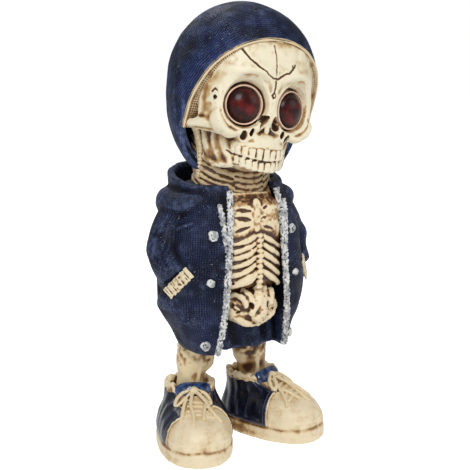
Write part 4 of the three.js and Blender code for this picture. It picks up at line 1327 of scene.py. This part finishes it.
def studs():
    pieces = []
    for x, z, scale in STUDS:
        spot = Vector(jacket_front(x, z))
        ahead = Vector(jacket_front(x + 1, z)) - spot
        turn = Vector((ahead.y, -1, 0)).to_track_quat("Z", "Y").to_matrix().to_4x4()
        placed = Matrix.Translation(spot) @ turn @ Matrix.Scale(scale, 4)
        pieces.append(moved(turned(STUD_OUTLINE, 32), placed))
    piece = fused(both(pieces), 0.17, 1)
    return swell(piece, lambda p: 0.36 * lumps(p, 1.5, 5) + 0.26 * lumps(p, 0.7, 8))


def build_jacket():
    piece = jacket()
    x, y, z = corners(piece).T
    note(piece, "weave", columns(np.arctan2(x, -(y - 1)) * 22, z, 0.8))
    # Painted shade: the jacket's inside, seen through its opening, is darkened.
    inside = ease(12.4 - np.abs(x), 0, 1) * ease(-y, -8, 8) * (z < 88)
    cloth = cloth_paint("jacket_cloth", row=0.74, stitch=0.72, base=JACKET_NAVY, light=JACKET_LIGHT)
    finished(stained_and_shaded(piece, 0.3, 0.35, 1.6 * inside), "jacket", cloth)
    silver = silver_paint()
    strips, gaps = trims()
    finished(stained_and_shaded(strips, 0.2, 0.05, 2.4 * (gaps - 0.57)), "jacket_trims", silver)
    finished(stained_and_shaded(studs(), 1.1, 0.3, 0.05), "studs", silver)
    cuffs = swell(joined(both([cuff()])), lambda p: 0.14 * lumps(p, 0.9, 4))
    finished(stained_and_shaded(cuffs, 1.4, 1.2, 0.5), "cuffs", bone_paint("cuff_paint", pale=CUFF_CREAM))


# Neck, ribs and pelvis

NECK_Y = -1.8
NECK_STRANDS = 8
NECK_RINGS = 7
RIB_AXIS_Y = -5.6
RIB_HALF = (12.9, 12.6)
RIB_SQUARE = 2.7
# Slots of the chest, and the ribs below it: x and z of each end, then half height or thickness.
CHEST_SLOTS = [
    (-3.2, 83.1, -8.6, 83.6, 0.95),
    (-3.2, 80.2, -8.8, 81.0, 1.0),
    (-3.6, 78.0, -8.4, 76.3, 0.85),
    (0.9, 83.5, 3.4, 84.6, 0.7),
    (0.3, 80.4, 2.5, 80.9, 0.6),
    (0.8, 78.1, 6.4, 76.1, 0.75),
]
RIBS = [
    (-0.9, 75.0, -9.4, 72.2, 0.95),
    (-0.9, 73.0, -9.4, 69.7, 0.95),
    (-0.9, 70.4, -9.4, 67.4, 0.95),
    (-1.0, 68.1, -9.4, 64.6, 0.95),
    (-1.0, 65.4, -9.4, 61.8, 0.95),
    (-1.0, 62.6, -9.8, 58.6, 1.55),
    (0.9, 75.0, 10.3, 69.4, 0.9),
    (0.9, 72.2, 10.3, 66.4, 0.9),
    (0.9, 69.4, 10.3, 63.2, 0.9),
    (0.9, 66.5, 10.3, 60.0, 0.9),
    (0.9, 63.2, 10.3, 56.8, 1.0),
]
# Pits between the ends of the ribs, as x, z.
RIB_PITS = [(-8.9, 69.2), (-8.7, 63.8), (-9.1, 59.4)]
SPINE_BEADS = 11
SPINE_PITCH = 1.72

PELVIS_CENTRE = (0, -9.4, 50.4)
# The crescent that stands up each side of the hip bowl, as x, y, z.
CRESCENT = [
    (8.4, -12.0, 54.0), (7.6, -12.9, 55.0), (6.5, -14.2, 55.1), (5.6, -15.6, 54.3),
    (4.9, -16.7, 53.0), (4.7, -17.3, 51.2),
]
CRESCENT_RADII = [0.7, 0.95, 1.1, 1.15, 1.1, 0.8]
# Bars and a hollow on each side of the bowl and a ridge across it: x and z of each point,
# how proud it stands, its radii and its sides.
HIP_BARS = [
    (
        [(9.4, 53.4), (9.3, 50.8), (8.2, 48.6), (6.2, 46.8), (3.2, 45.4), (0, 45.0)], -1.0,
        [0.8, 1.0, 1.5, 1.8, 2.0, 2.0],
    ),
    ([(8.2, 51.6), (7.2, 50.6), (6.0, 50.2)], 0.1, [0.5, 0.75, 0.6], 12),
    ([(4.3, 56.6), (3.2, 55.2), (2.4, 53.4), (2.0, 51.6)], 0.0, [1.0, 1.3, 1.25, 0.9]),
]
HIP_HOLLOW = ([(8.3, 53.4), (7.0, 52.5), (6.0, 51.3), (5.4, 49.7)], 0.15, [0.6, 0.95, 0.95, 0.6], 12)
HIP_RIDGE = (
    [(0.8, 57.0), (0.5, 54.8), (-0.6, 52.4), (-2.2, 50.4), (-3.8, 48.4)], 0.5,
    [1.2, 1.35, 1.3, 1.2, 1.0],
)
# Small holes of the bowl: x, z, half width and half height.
HIP_DOTS = [
    (-1.6, 54.3, 0.45, 0.8), (-0.2, 55.1, 0.35, 0.5), (-1.0, 48.8, 0.35, 0.6), (1.2, 47.6, 0.4, 0.5),
    (-0.4, 47.0, 0.3, 0.4), (4.4, 48.0, 0.5, 0.35), (5.2, 53.6, 0.4, 0.6),
]


def neck():
    """Strands that sweep down from behind the jaw to a ringed windpipe in front."""
    def core(turn, share):
        return 11.2 * np.cos(turn), NECK_Y + 9.3 * np.sin(turn), 82 + 19 * share

    def spot(turn, wide, deep, z):
        a = math.radians(turn)
        return wide * math.sin(a), NECK_Y - deep * math.cos(a), z

    pieces = [lofted(core, 64, 24)]
    for side, i in ((side, i) for side in (-1, 1) for i in range(NECK_STRANDS)):
        points, thick = [], []
        for turn in np.linspace(26, 180, 25):
            climb = 8.6 * min((turn - 26) / 90, 1) ** 1.05
            z = 82.6 + 2.35 * i + climb + 0.25 * math.sin(turn * 0.09 + i * 1.9)
            kept = 1 - 0.3 * float(ease(turn, 122, 150) * ease(z, 88, 93))
            points.append(spot(turn, side * 11.5 * kept, 9.7 * kept, z))
            thick.append(0.95 + 0.3 * math.sin(turn * 0.06 + i * 2.3))
        pieces.append(rope(points, thick))
    for i in range(NECK_RINGS):
        level = 84.4 + 1.92 * i
        hoop = [spot(turn, 11.7, 10.3, level + 0.9 * (turn / 26) ** 2) for turn in np.linspace(-27, 25, 9)]
        pieces.append(rope(hoop, [0.55, 0.8, 0.9, 0.9, 0.95, 0.9, 0.9, 0.8, 0.55]))

    def flare(p, out):
        x, y, z = p.T
        return columns(x * (1 + 0.26 * ease(z, 85, 94) * ease(-x, 3, 9)), y, z)

    piece = sculpt(fused(pieces, 0.3, 1), flare)
    return swell(piece, lambda p: 0.20 * lumps(p, 1.7, 3) + 0.12 * lumps(p, 0.8, 5))


def rib_spot(x, z, inset):
    """A point on the front of the squarish rib cage, at x and z and that far below its surface."""
    share = min(abs(x) / (RIB_HALF[0] - inset), 0.98)
    return x, RIB_AXIS_Y - (RIB_HALF[1] - inset) * rounded(share, RIB_SQUARE), z


def rib_cage():
    """A smooth slotted chest above, and drooping ribs each side of a beaded spine."""
    def barrel(turn, share):
        z = 54.5 + 34 * share
        ends = ease(z, 83.5, 89) + ease(-z, -60, -54.5)
        half = RIB_HALF[0] - 0.4 - 1.6 * ease(z, 75, 81) - 2.0 * ends
        inset = 1.9 - 1.4 * ease(z, 72.0, 79.0) + 4.0 * ends
        across, along = ring(turn, 3)
        return half * across, RIB_AXIS_Y + (RIB_HALF[1] - inset) * along, z

    pieces = [lofted(barrel, 128, 90)]
    for i, (x0, z0, x1, z1, thickness) in enumerate(RIBS):
        points, thick = [], []
        for share in np.linspace(0, 1, 10):
            drop = 1 - (1 - share) ** 1.6 if x1 < 0 else share
            inset = 1.6 - 0.75 * math.sin(math.pi * min(share * 1.15 + 0.1, 0.75))
            points.append(rib_spot(x0 + (x1 - x0) * share, z0 + (z1 - z0) * drop, inset))
            bulge = 0.42 * math.sin(math.pi * min(share + 0.12, 0.8))
            thick.append(thickness * (0.62 + bulge + 0.08 * math.sin(i * 2.4 + 6 * share)))
        x, y, z = points[-1]
        pieces.append(rope([*points, (x * 1.08, y + 2.0, z - 0.6)], [*thick, thickness * 0.8], 16))
    # the breastbone, and the beads of the spine below it
    front = RIB_AXIS_Y - RIB_HALF[1]
    pieces.append(ball((-0.9, front + 1.6, 81.0), (2.2, 1.4, 6.0)))
    for i in range(SPINE_BEADS):
        bead = (1.3 + 0.15 * math.sin(i * 2), 1.3, 0.78)
        pieces.append(ball((0.1, front + 0.9, 74.9 - SPINE_PITCH * i), bead))
    piece = fused(pieces, 0.28, 1)
    cuts = []
    for x0, z0, x1, z1, high in CHEST_SLOTS:
        xs, zs = np.linspace(x0, x1, 6), np.linspace(z0, z1, 6)
        path = [rib_spot(x, z, 0.35) for x, z in zip(xs, zs)]
        cuts.append(rope(path, high * np.array([0.45, 0.85, 1, 1, 0.95, 0.6]), 16))
    cuts += [ball(rib_spot(x, z, 0.4), (0.6, 1.0, 0.55)) for x, z in RIB_PITS]
    piece = fused([carve(piece, cuts)], 0.26, 1)
    return swell(piece, lambda p: 0.16 * lumps(p, 1.9, 3) + 0.09 * lumps(p, 0.8, 9))


def bowl_spot(x, z, proud=0.0):
    """A point on the front of the hip bowl, or proud of it."""
    share = min((x / 10.4) ** 2 + ((z - 50.6) / 7.4) ** 2, 0.92)
    return x, PELVIS_CENTRE[1] - 8.5 * math.sqrt(1 - share) - proud, z


def bowl_rope(path, proud, radii, sides=16, side=1):
    return rope([bowl_spot(side * x, z, proud) for x, z in path], radii, sides)


def pelvis():
    """A hip bowl with a raised crescent each side, a ridge across it and ragged holes."""
    pieces = [ball(PELVIS_CENTRE, (10.1, 7.7, 6.9), segments=64, rings=40)]
    holes = []
    for side in (-1, 1):
        pieces.append(rope([(side * x, y, z) for x, y, z in CRESCENT], CRESCENT_RADII, 16))
        pieces += [bowl_rope(*bar, side=side) for bar in HIP_BARS]
        holes.append(bowl_rope(*HIP_HOLLOW, side=side))
        holes.append(ball(bowl_spot(side * 3.3, 51.6), (0.85, 2.0, 1.2), lean=(0, side * 0.4, 0)))
        holes.append(ball(bowl_spot(side * 6.9, 49.2), (0.9, 1.6, 0.6), lean=(0, side * 0.5, 0)))
    pieces.append(bowl_rope(*HIP_RIDGE))
    pieces.append(ball(bowl_spot(0.4, 50.6, -1.2), (3.7, 2.2, 5.4), lean=(0, 0.25, 0)))
    holes += [ball(bowl_spot(x, z), (wide, 1.5, high)) for x, z, wide, high in HIP_DOTS]
    piece = fused([carve(fused(pieces, 0.32, 3), holes)], 0.28, 1)
    return swell(piece, lambda p: 0.28 * lumps(p, 2.2, 3) + 0.26 * lumps(p, 1.1, 9))


def jacket_lining():
    """The cloth of the jacket's inside that hangs in folds behind the pelvis."""
    def hang(turn, share):
        ripple = 0.7 * np.cos(turn * 9 + 2.2 * share) * (1 - 0.3 * share)
        across, along = ring(turn, 3)
        return (13.2 + 0.3 * ripple) * across, (10.2 + ripple) * along, 35.2 + 13 * share

    piece = fused([lofted(hang, 128, 32)], 0.4, 2)
    return swell(piece, lambda p: 0.15 * lumps(p, 2.6, 3))


def build_bones():
    bone = bone_paint("rib_paint", pale=RIB_IVORY, cloud=1.3)
    throat = neck()
    shade = 0.93 + 0.4 * ease(-corners(throat)[:, 2], -90, -85)
    finished(stained_and_shaded(throat, 0.9, 0.9, shade), "neck", bone_paint("neck_paint", pale=NECK_TAN, darkening=0.26))
    ribs = rib_cage()
    x, y, z = corners(ribs).T
    side = np.clip(np.abs(x) / RIB_HALF[0], 0, 0.99)
    below = y - RIB_AXIS_Y + RIB_HALF[1] * rounded(side, RIB_SQUARE)
    shade = 0.28 + 0.5 * ease(np.abs(x), 8.5, 11.0) + 0.9 * ease(z, 82, 88)
    shade = shade + 0.25 * ease(z, 74, 78) + 0.3 * ease(x, 3.5, 7.5) * ease(z, 74, 80)
    shade = shade + 1.7 * ease(below, 0.6, 1.7) * (1 - 0.7 * ease(z, 82, 86))
    finished(stained_and_shaded(ribs, 0.9, 1.0, shade), "rib_cage", bone)
    finished(stained_and_shaded(pelvis(), 0.9, 0.9, 0.4), "pelvis", bone)
    cloth = jacket_lining()
    x, y, z = corners(cloth).T
    note(cloth, "weave", columns(x, z, 0.15))
    paint = cloth_paint("lining_cloth", base=JACKET_NAVY, light=JACKET_LIGHT, wear=0.6)
    # Painted shade darkens all of this cloth behind the pelvis.
    finished(stained_and_shaded(cloth, 0.8, 0.8, 0.35), "jacket_lining", paint)


# Legs and shoes

# Height, half width, half depth, middle x and middle y of the leg's level sections.
LEG_SECTIONS = [
    (15, 4.8, 4.8, 12.9, 7.4),
    (20, 5.0, 4.8, 12.6, 7.4),
    (23, 5.1, 4.8, 12.2, 7.4),
    (26.5, 6.2, 5.4, 11.6, 7.3),
    (30, 6.2, 5.8, 11.1, 7.2),
    (36, 6.3, 5.8, 10.2, 7.0),
    (41, 5.4, 5.4, 9.8, 6.4),
]
SHIN_RIDGE = [(9.8, 2.6, 34), (11.4, 2.4, 28), (12.6, 3.0, 22), (12.7, 3.4, 17)]
# Knobs and a hollow of the leg, and its darker spots, crumbled paint and painted shade under the knee: place,
# width and rise.
LEG_KNOBS = [
    ([(6.0, 5.0, 27.0)] * 2, 3.0, 1.3),
    ([(8.0, 4.0, 21.5)] * 2, 2.4, -0.9),
    ([(15.0, 3.5, 32)] * 2, 3.4, 0.8),
]
LEG_CRUMBS_AND_SHADE = [([spot, spot], 2.3, 0.9) for spot in ((8.4, 3.2, 22.6), (14.6, 2.6, 23.4), (11.0, 11.5, 24))]
SHOE_AT = (15.9, -0.7)
SHOE_SPLAY = math.radians(19.5)
SHOE_HALF = (21.1, 12.8)
SOLE_HEIGHT = 4.8
SOLE_EDGE = 0.9
SOLE_SQUARE = 2.3
# Height, half width, toe, heel and squareness of the shoe's upper.
UPPER_SECTIONS = [
    (4.4, 12.1, 20.3, -20.1, 2.6),
    (6.5, 12.1, 20.2, -19.7, 2.6),
    (9, 11.8, 19.5, -19.0, 2.5),
    (11, 11.2, 18.2, -18.4, 2.4),
    (13, 10.2, 15.4, -18.0, 2.3),
    (14.6, 9.3, 10.6, -17.7, 2.3),
    (16.6, 8.6, 4.0, -17.5, 2.3),
    (19.9, 8.3, -0.8, -17.9, 2.3),
]
VAMP_RIDGE = [(-3, 19.8), (0, 18.5), (4, 16.6), (9, 14.9), (13, 13.8), (18, 10)]
# Half width of the gap between the navy panels where the laces run.
THROAT = 5.6
TONGUE_LEAN = math.radians(30)
# Laces on the front of the shoe, as points (forward, outward, height above it): the rows
# across, the two loops and the loose ends.
LACES = [
    [(2.6, 5.8, 0.1), (3.6, 2.5, 0.5), (4.6, -2.0, 0.5), (4.2, -5.8, 0.1)],
    [(4.6, 5.8, 0.1), (5.6, 2.0, 0.5), (6.6, -2.5, 0.5), (6.4, -5.8, 0.1)],
    [(7.4, 5.6, 0.1), (8.2, 2.0, 0.5), (8.6, -2.0, 0.5), (9.2, -5.6, 0.1)],
    [(9.8, 5.2, 0.1), (10.2, 1.0, 0.5), (11.2, -2.0, 0.4), (11.4, -5.2, 0.1)],
    [
        (0.6, 0.4, 1.5), (0.4, 3.4, 2.0), (1.8, 6.6, 1.3), (4.6, 7.2, 0.9), (4.6, 5.0, 1.4),
        (2.8, 2.2, 2.0), (0.8, 0.5, 1.6),
    ],
    [
        (0.6, -0.4, 1.5), (1.2, -3.0, 2.2), (3.4, -5.2, 1.6), (6.0, -5.2, 1.0), (5.2, -3.4, 1.7),
        (3.0, -1.4, 2.1), (0.8, -0.5, 1.6),
    ],
    [(0.6, 0.3, 1.5), (4.6, 1.8, 1.9), (8.4, 2.4, 1.3), (11.6, 1.4, 0.9), (15.4, 2.6, 0.6)],
    [(0.6, -0.3, 1.5), (3.4, -2.6, 1.8), (7.0, -3.4, 1.5), (10.4, -5.2, 0.9), (12.8, -7.6, 0.5)],
    [(0.6, 0.4, 1.5), (3.6, 4.2, 1.5), (7.8, 4.6, 1.2), (12.2, 6.2, 0.5)],
    [(5.4, -4.2, 1.2), (8.0, -1.6, 1.4), (11.0, -2.2, 0.9), (13.6, -1.0, 0.6)],
]
LACE_RADIUS = 0.66


def to_shoe(p, q, z):
    """Shoe points, p forward and q outward, in the figure's frame."""
    x = SHOE_AT[0] + p * math.sin(SHOE_SPLAY) + q * math.cos(SHOE_SPLAY)
    y = SHOE_AT[1] - p * math.cos(SHOE_SPLAY) + q * math.sin(SHOE_SPLAY)
    return x, y, z


def from_shoe(points):
    x, y = points[:, 0] - SHOE_AT[0], points[:, 1] - SHOE_AT[1]
    p = x * math.sin(SHOE_SPLAY) - y * math.cos(SHOE_SPLAY)
    q = x * math.cos(SHOE_SPLAY) + y * math.sin(SHOE_SPLAY)
    return p, q, points[:, 2]


def leg():
    def level(turn, share):
        z = 15 + 26 * share
        half, deep, x, y = between(LEG_SECTIONS, z)
        return x + half * np.cos(turn), y + deep * np.sin(turn), z

    def knobs(p):
        lift = 0.45 * lumps(p, 3.8, 5) + 0.4 * ease(p[:, 2], 25, 28) * lumps(p, 1.2, 8)
        return raised_by(p, lift, LEG_KNOBS)

    pieces = [lofted(level, 64, 40), rope(SHIN_RIDGE, [1.2, 1.0, 1.0, 0.9])]
    return swell(fused(pieces, 0.4, 4), knobs)


def sole():
    def level(turn, share):
        z = SOLE_HEIGHT * share
        inset = SOLE_EDGE * 0.7 * (1 - ease(z, 0, SOLE_EDGE)) + 0.5 * ease(z, SOLE_HEIGHT - 0.9, SOLE_HEIGHT)
        across, along = ring(turn, SOLE_SQUARE)
        return to_shoe(-(SHOE_HALF[0] - inset) * along, (SHOE_HALF[1] - inset) * across, z)

    return lofted(level, 160, 24)


def upper():
    def level(turn, share):
        z = UPPER_SECTIONS[0][0] + (UPPER_SECTIONS[-1][0] - UPPER_SECTIONS[0][0]) * share
        half, toe, heel, square = between(UPPER_SECTIONS, z)
        across, along = ring(turn, square)
        return to_shoe((toe + heel) / 2 - (toe - heel) / 2 * along, half * across, z)

    def hollow(turn, share):
        return to_shoe(-9.3 - 7.8 * np.sin(turn), 7.2 * np.cos(turn), 15.5 + 12 * share)

    return carve(lofted(level, 128, 48), [lofted(hollow, 48, 8)])


def panel_edge(p, q, z):
    """How far inside the edge of a navy side panel a point lies, in millimetres."""
    front = 9.6 + 2.2 * np.clip(q / 6, -1, 1) - 0.14 * (z - 5) - p
    side = np.where(p > -5.5, np.abs(q) - THROAT - 0.12 * np.clip(-p, -4, 6), 9)
    return np.minimum(np.minimum(front, side), z - SOLE_HEIGHT - 0.3)


def in_shoe(p, q, z):
    """1 inside the opening of the shoe and on its ragged lining, 0 outside."""
    within = ((p + 9.3) / 8.1) ** 2 + (q / 7.5) ** 2
    return np.maximum(ease(-within, -1.05, -0.95) * (z > 14), ease(z, 18.3, 18.8))


def shoe():
    def relief(points):
        p, q, z = from_shoe(points)
        edge = panel_edge(p, q, z)
        seam = bell(edge - 0.9, 0.22) * (z > 6)
        crease = bell(z - SOLE_HEIGHT - 0.2 - 0.3 * lumps(points, 5, 6), 0.42)
        toe_band = bell(z - 7.4 + 0.5 * lumps(points, 4, 2), 0.5) * ease(p, 10.5, 12)
        folds = 0.126 * np.sin(p * 1.35 + 0.4 * z + 1.6 * lumps(points, 5, 8)) * ease(edge, 1.2, 2.2)
        lift = 0.5 * ease(edge, 0, 0.3) - 0.16 * seam + folds - 0.14 * crease + 0.12 * toe_band
        return lift + 0.16 * lumps(points, 3.2, 3) + 0.5 * ease(z, 18.4, 19.6) * lumps(points, 1.5, 8)

    def settle(points, out):
        """Tears the lining's rim and sets the sole down on the floor."""
        x, y, z = points.T
        ragged = ease(z, 18.2, 19.9) * (1.1 * lumps(points * np.array([1, 1, 0.1]), 1.3, 4))
        return columns(x, y, np.maximum(z + ragged, 0))

    return sculpt(swell(fused([sole(), upper()], 0.36, 2), relief), settle)


def tongue():
    def shape(p, out):
        side = p[:, 0]
        along, rise = -1.9 * p[:, 1], 3.3 * p[:, 2]
        forward = -0.9 - 1.2 * side ** 2 + along * math.cos(TONGUE_LEAN) - rise * math.sin(TONGUE_LEAN)
        height = 19.0 + 0.4 * side ** 2 + along * math.sin(TONGUE_LEAN) + rise * math.cos(TONGUE_LEAN)
        return columns(*to_shoe(forward, 6.5 * side, height))

    return swell(sculpt(unit_ball(48, 32), shape), lambda p: 0.3 * lumps(p, 2.0, 4))


def on_vamp(p, q, proud):
    return to_shoe(p, q, float(between(VAMP_RIDGE, p)[0]) - 0.034 * q * q + proud)


def laces():
    """Crossed rows, two loops and loose ends that fan out from the knot."""
    pieces = [rope([on_vamp(*spot) for spot in path], LACE_RADIUS) for path in LACES]
    pieces.append(ball(on_vamp(0.5, 0, 1.5), (1.7, 1.5, 1.3)))
    return swell(fused(pieces, 0.24, 1), lambda p: 0.10 * lumps(p, 0.9, 5))


def build_feet():
    legs = joined(both([leg()]))
    points = corners(legs)
    x, y, z = points.T
    patch = 0.5 + 0.8 * lumps(points * np.array([1, 1, 0.45]), 3.0, 12) + 0.25 * lumps(points, 1.1, 7)
    patch = (patch + 0.35 * np.sign(x)) * ease(z, 17.5, 23)
    crumbly = (0.75 + 0.4 * lumps(points, 0.9, 3)) * ease(z, 25, 28.5) + 0.5 * ease(-z, -22, -18.5)
    extra = raised_by(columns(np.abs(x), y, z), patch + crumbly, LEG_CRUMBS_AND_SHADE)
    paint = bone_paint("leg_paint", pale=LEG_IVORY, darkening=0.02, cloud=1.0)
    finished(stained_and_shaded(legs, 0.25, 1.0, extra), "legs", paint)

    shoes = shoe()
    points = corners(shoes)
    p, q, z = from_shoe(points)
    edge = panel_edge(p, q, z)
    lining = in_shoe(p, q, z + 0.5 * lumps(points, 1.6, 9))
    note(shoes, "panel", ease(edge, 0, 0.3) * (1 - lining))
    crease = bell(z - SOLE_HEIGHT - 0.3, 0.75) * (0.12 + 0.7 * lumps(points, 2.0, 4))
    heel_dirt = 0.85 * ease(lumps(points, 5.2, 3) + 0.4 * lumps(points, 1.5, 5), -0.3, 0.6)
    heel_dirt = heel_dirt * ease(-p, -11, 0) * (z < SOLE_HEIGHT + 0.6)
    # Painted shade under the laces and the tongue, in the gap between the panels.
    throat = 0.35 * (np.abs(q) < THROAT) * ease(-p, -10, -6)
    beside = 0.5 * bell(edge + 0.25, 0.35) * (z > 5.5)
    grubby = 0.7 * ease(lumps(points, 3.0, 8) + 0.6 * lumps(points, 1.2, 3), 0.25, 0.8) * ease(-z, -9.5, -4)
    extra = crease + 0.25 * ease(-z, -1.4, 0.2) + heel_dirt + throat + beside + grubby
    # Brown dirt and painted shade inside the shoe's opening and on its ragged lining.
    extra = extra + lining * (1.0 + 0.6 * lumps(points, 1.2, 2))
    pair = joined(both([stained_and_shaded(shoes, 0.2, 0.3, extra)]))
    finished(pair, "shoes", shoe_paint())
    finished(stained_and_shaded(joined(both([tongue()]))), "shoe_tongues", glossy_blue())
    strings = stained_and_shaded(joined(both([laces()])), 1.1, 1.0)
    finished(strings, "laces", bone_paint("lace_paint", pale=LACE_CREAM))


# Camera, light and floor

# Place, size and power of the lamps, in metres and watts, and the spot that they face.
LAMPS = [
    ((-0.30, -0.46, 0.56), 0.34, 2.9),
    ((0.50, -0.45, 0.34), 0.40, 0.7),
    ((0.1, 0.5, 0.6), 0.4, 1.3),
]
LIT_SPOT = (0, 0, 0.08)
# The photograph's camera, fitted in a frame 6 mm ahead of the figure's own.
FITTED_Y = STAND_Y - 6
CAMERA_AT = (-156.7, -255.8 + FITTED_Y, 127.6)
CAMERA_AIM = (-1.8, 1.1 + FITTED_Y, 73.2)
CAMERA_LENS = 69.3


def camera_switch(tree, unseen, seen):
    """A strength for what lights the scene, and another for what the camera sees."""
    strength = tree.nodes.new("ShaderNodeMapRange")
    strength.inputs["To Min"].default_value = unseen
    strength.inputs["To Max"].default_value = seen
    looked_at = tree.nodes.new("ShaderNodeLightPath").outputs["Is Camera Ray"]
    tree.links.new(looked_at, strength.inputs["Value"])
    return strength.outputs["Result"]


def faced(thing, place, target):
    thing.rotation_euler = (Vector(target) - Vector(place)).to_track_quat("-Z", "Y").to_euler()


def build_studio():
    bpy.ops.mesh.primitive_plane_add(size=6, location=(0, 0, 0))
    floor = bpy.context.object
    floor.name = "floor"
    pale = Recipe("pale_floor", roughness=0.8)
    pale.feed(pale.sockets["Emission Color"], (1.0, 1.0, 1.0))
    pale.feed(pale.sockets["Emission Strength"], camera_switch(pale.tree, 0.25, 0.85))
    floor.data.materials.append(pale.done((0.9, 0.9, 0.9)))

    scene = bpy.context.scene
    world = bpy.data.worlds.new("studio")
    world.use_nodes = True
    background = world.node_tree.nodes["Background"].inputs
    background["Color"].default_value = (1, 1, 1, 1)
    world.node_tree.links.new(camera_switch(world.node_tree, 0.30, 1.0), background["Strength"])
    scene.world = world
    scene.view_settings.view_transform = "Standard"

    for place, size, power in LAMPS:
        bpy.ops.object.light_add(type="AREA", location=place)
        lamp = bpy.context.object
        lamp.data.size = size
        lamp.data.energy = power
        faced(lamp, place, LIT_SPOT)

    place, aim = Vector(CAMERA_AT) * MM, Vector(CAMERA_AIM) * MM
    bpy.ops.object.camera_add(location=place)
    camera = bpy.context.object
    faced(camera, place, aim)
    camera.data.lens = CAMERA_LENS
    camera.data.sensor_width = 36
    camera.data.clip_start = 0.01
    scene.camera = camera


build_studio()
build_head()
build_lenses()
build_hood()
build_jacket()
build_bones()
build_feet()
for piece in bpy.data.objects:
    if piece.type == "MESH" and piece.data.materials and "wash_and_shade" in piece.data.attributes:
        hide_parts("skeleton_casting")
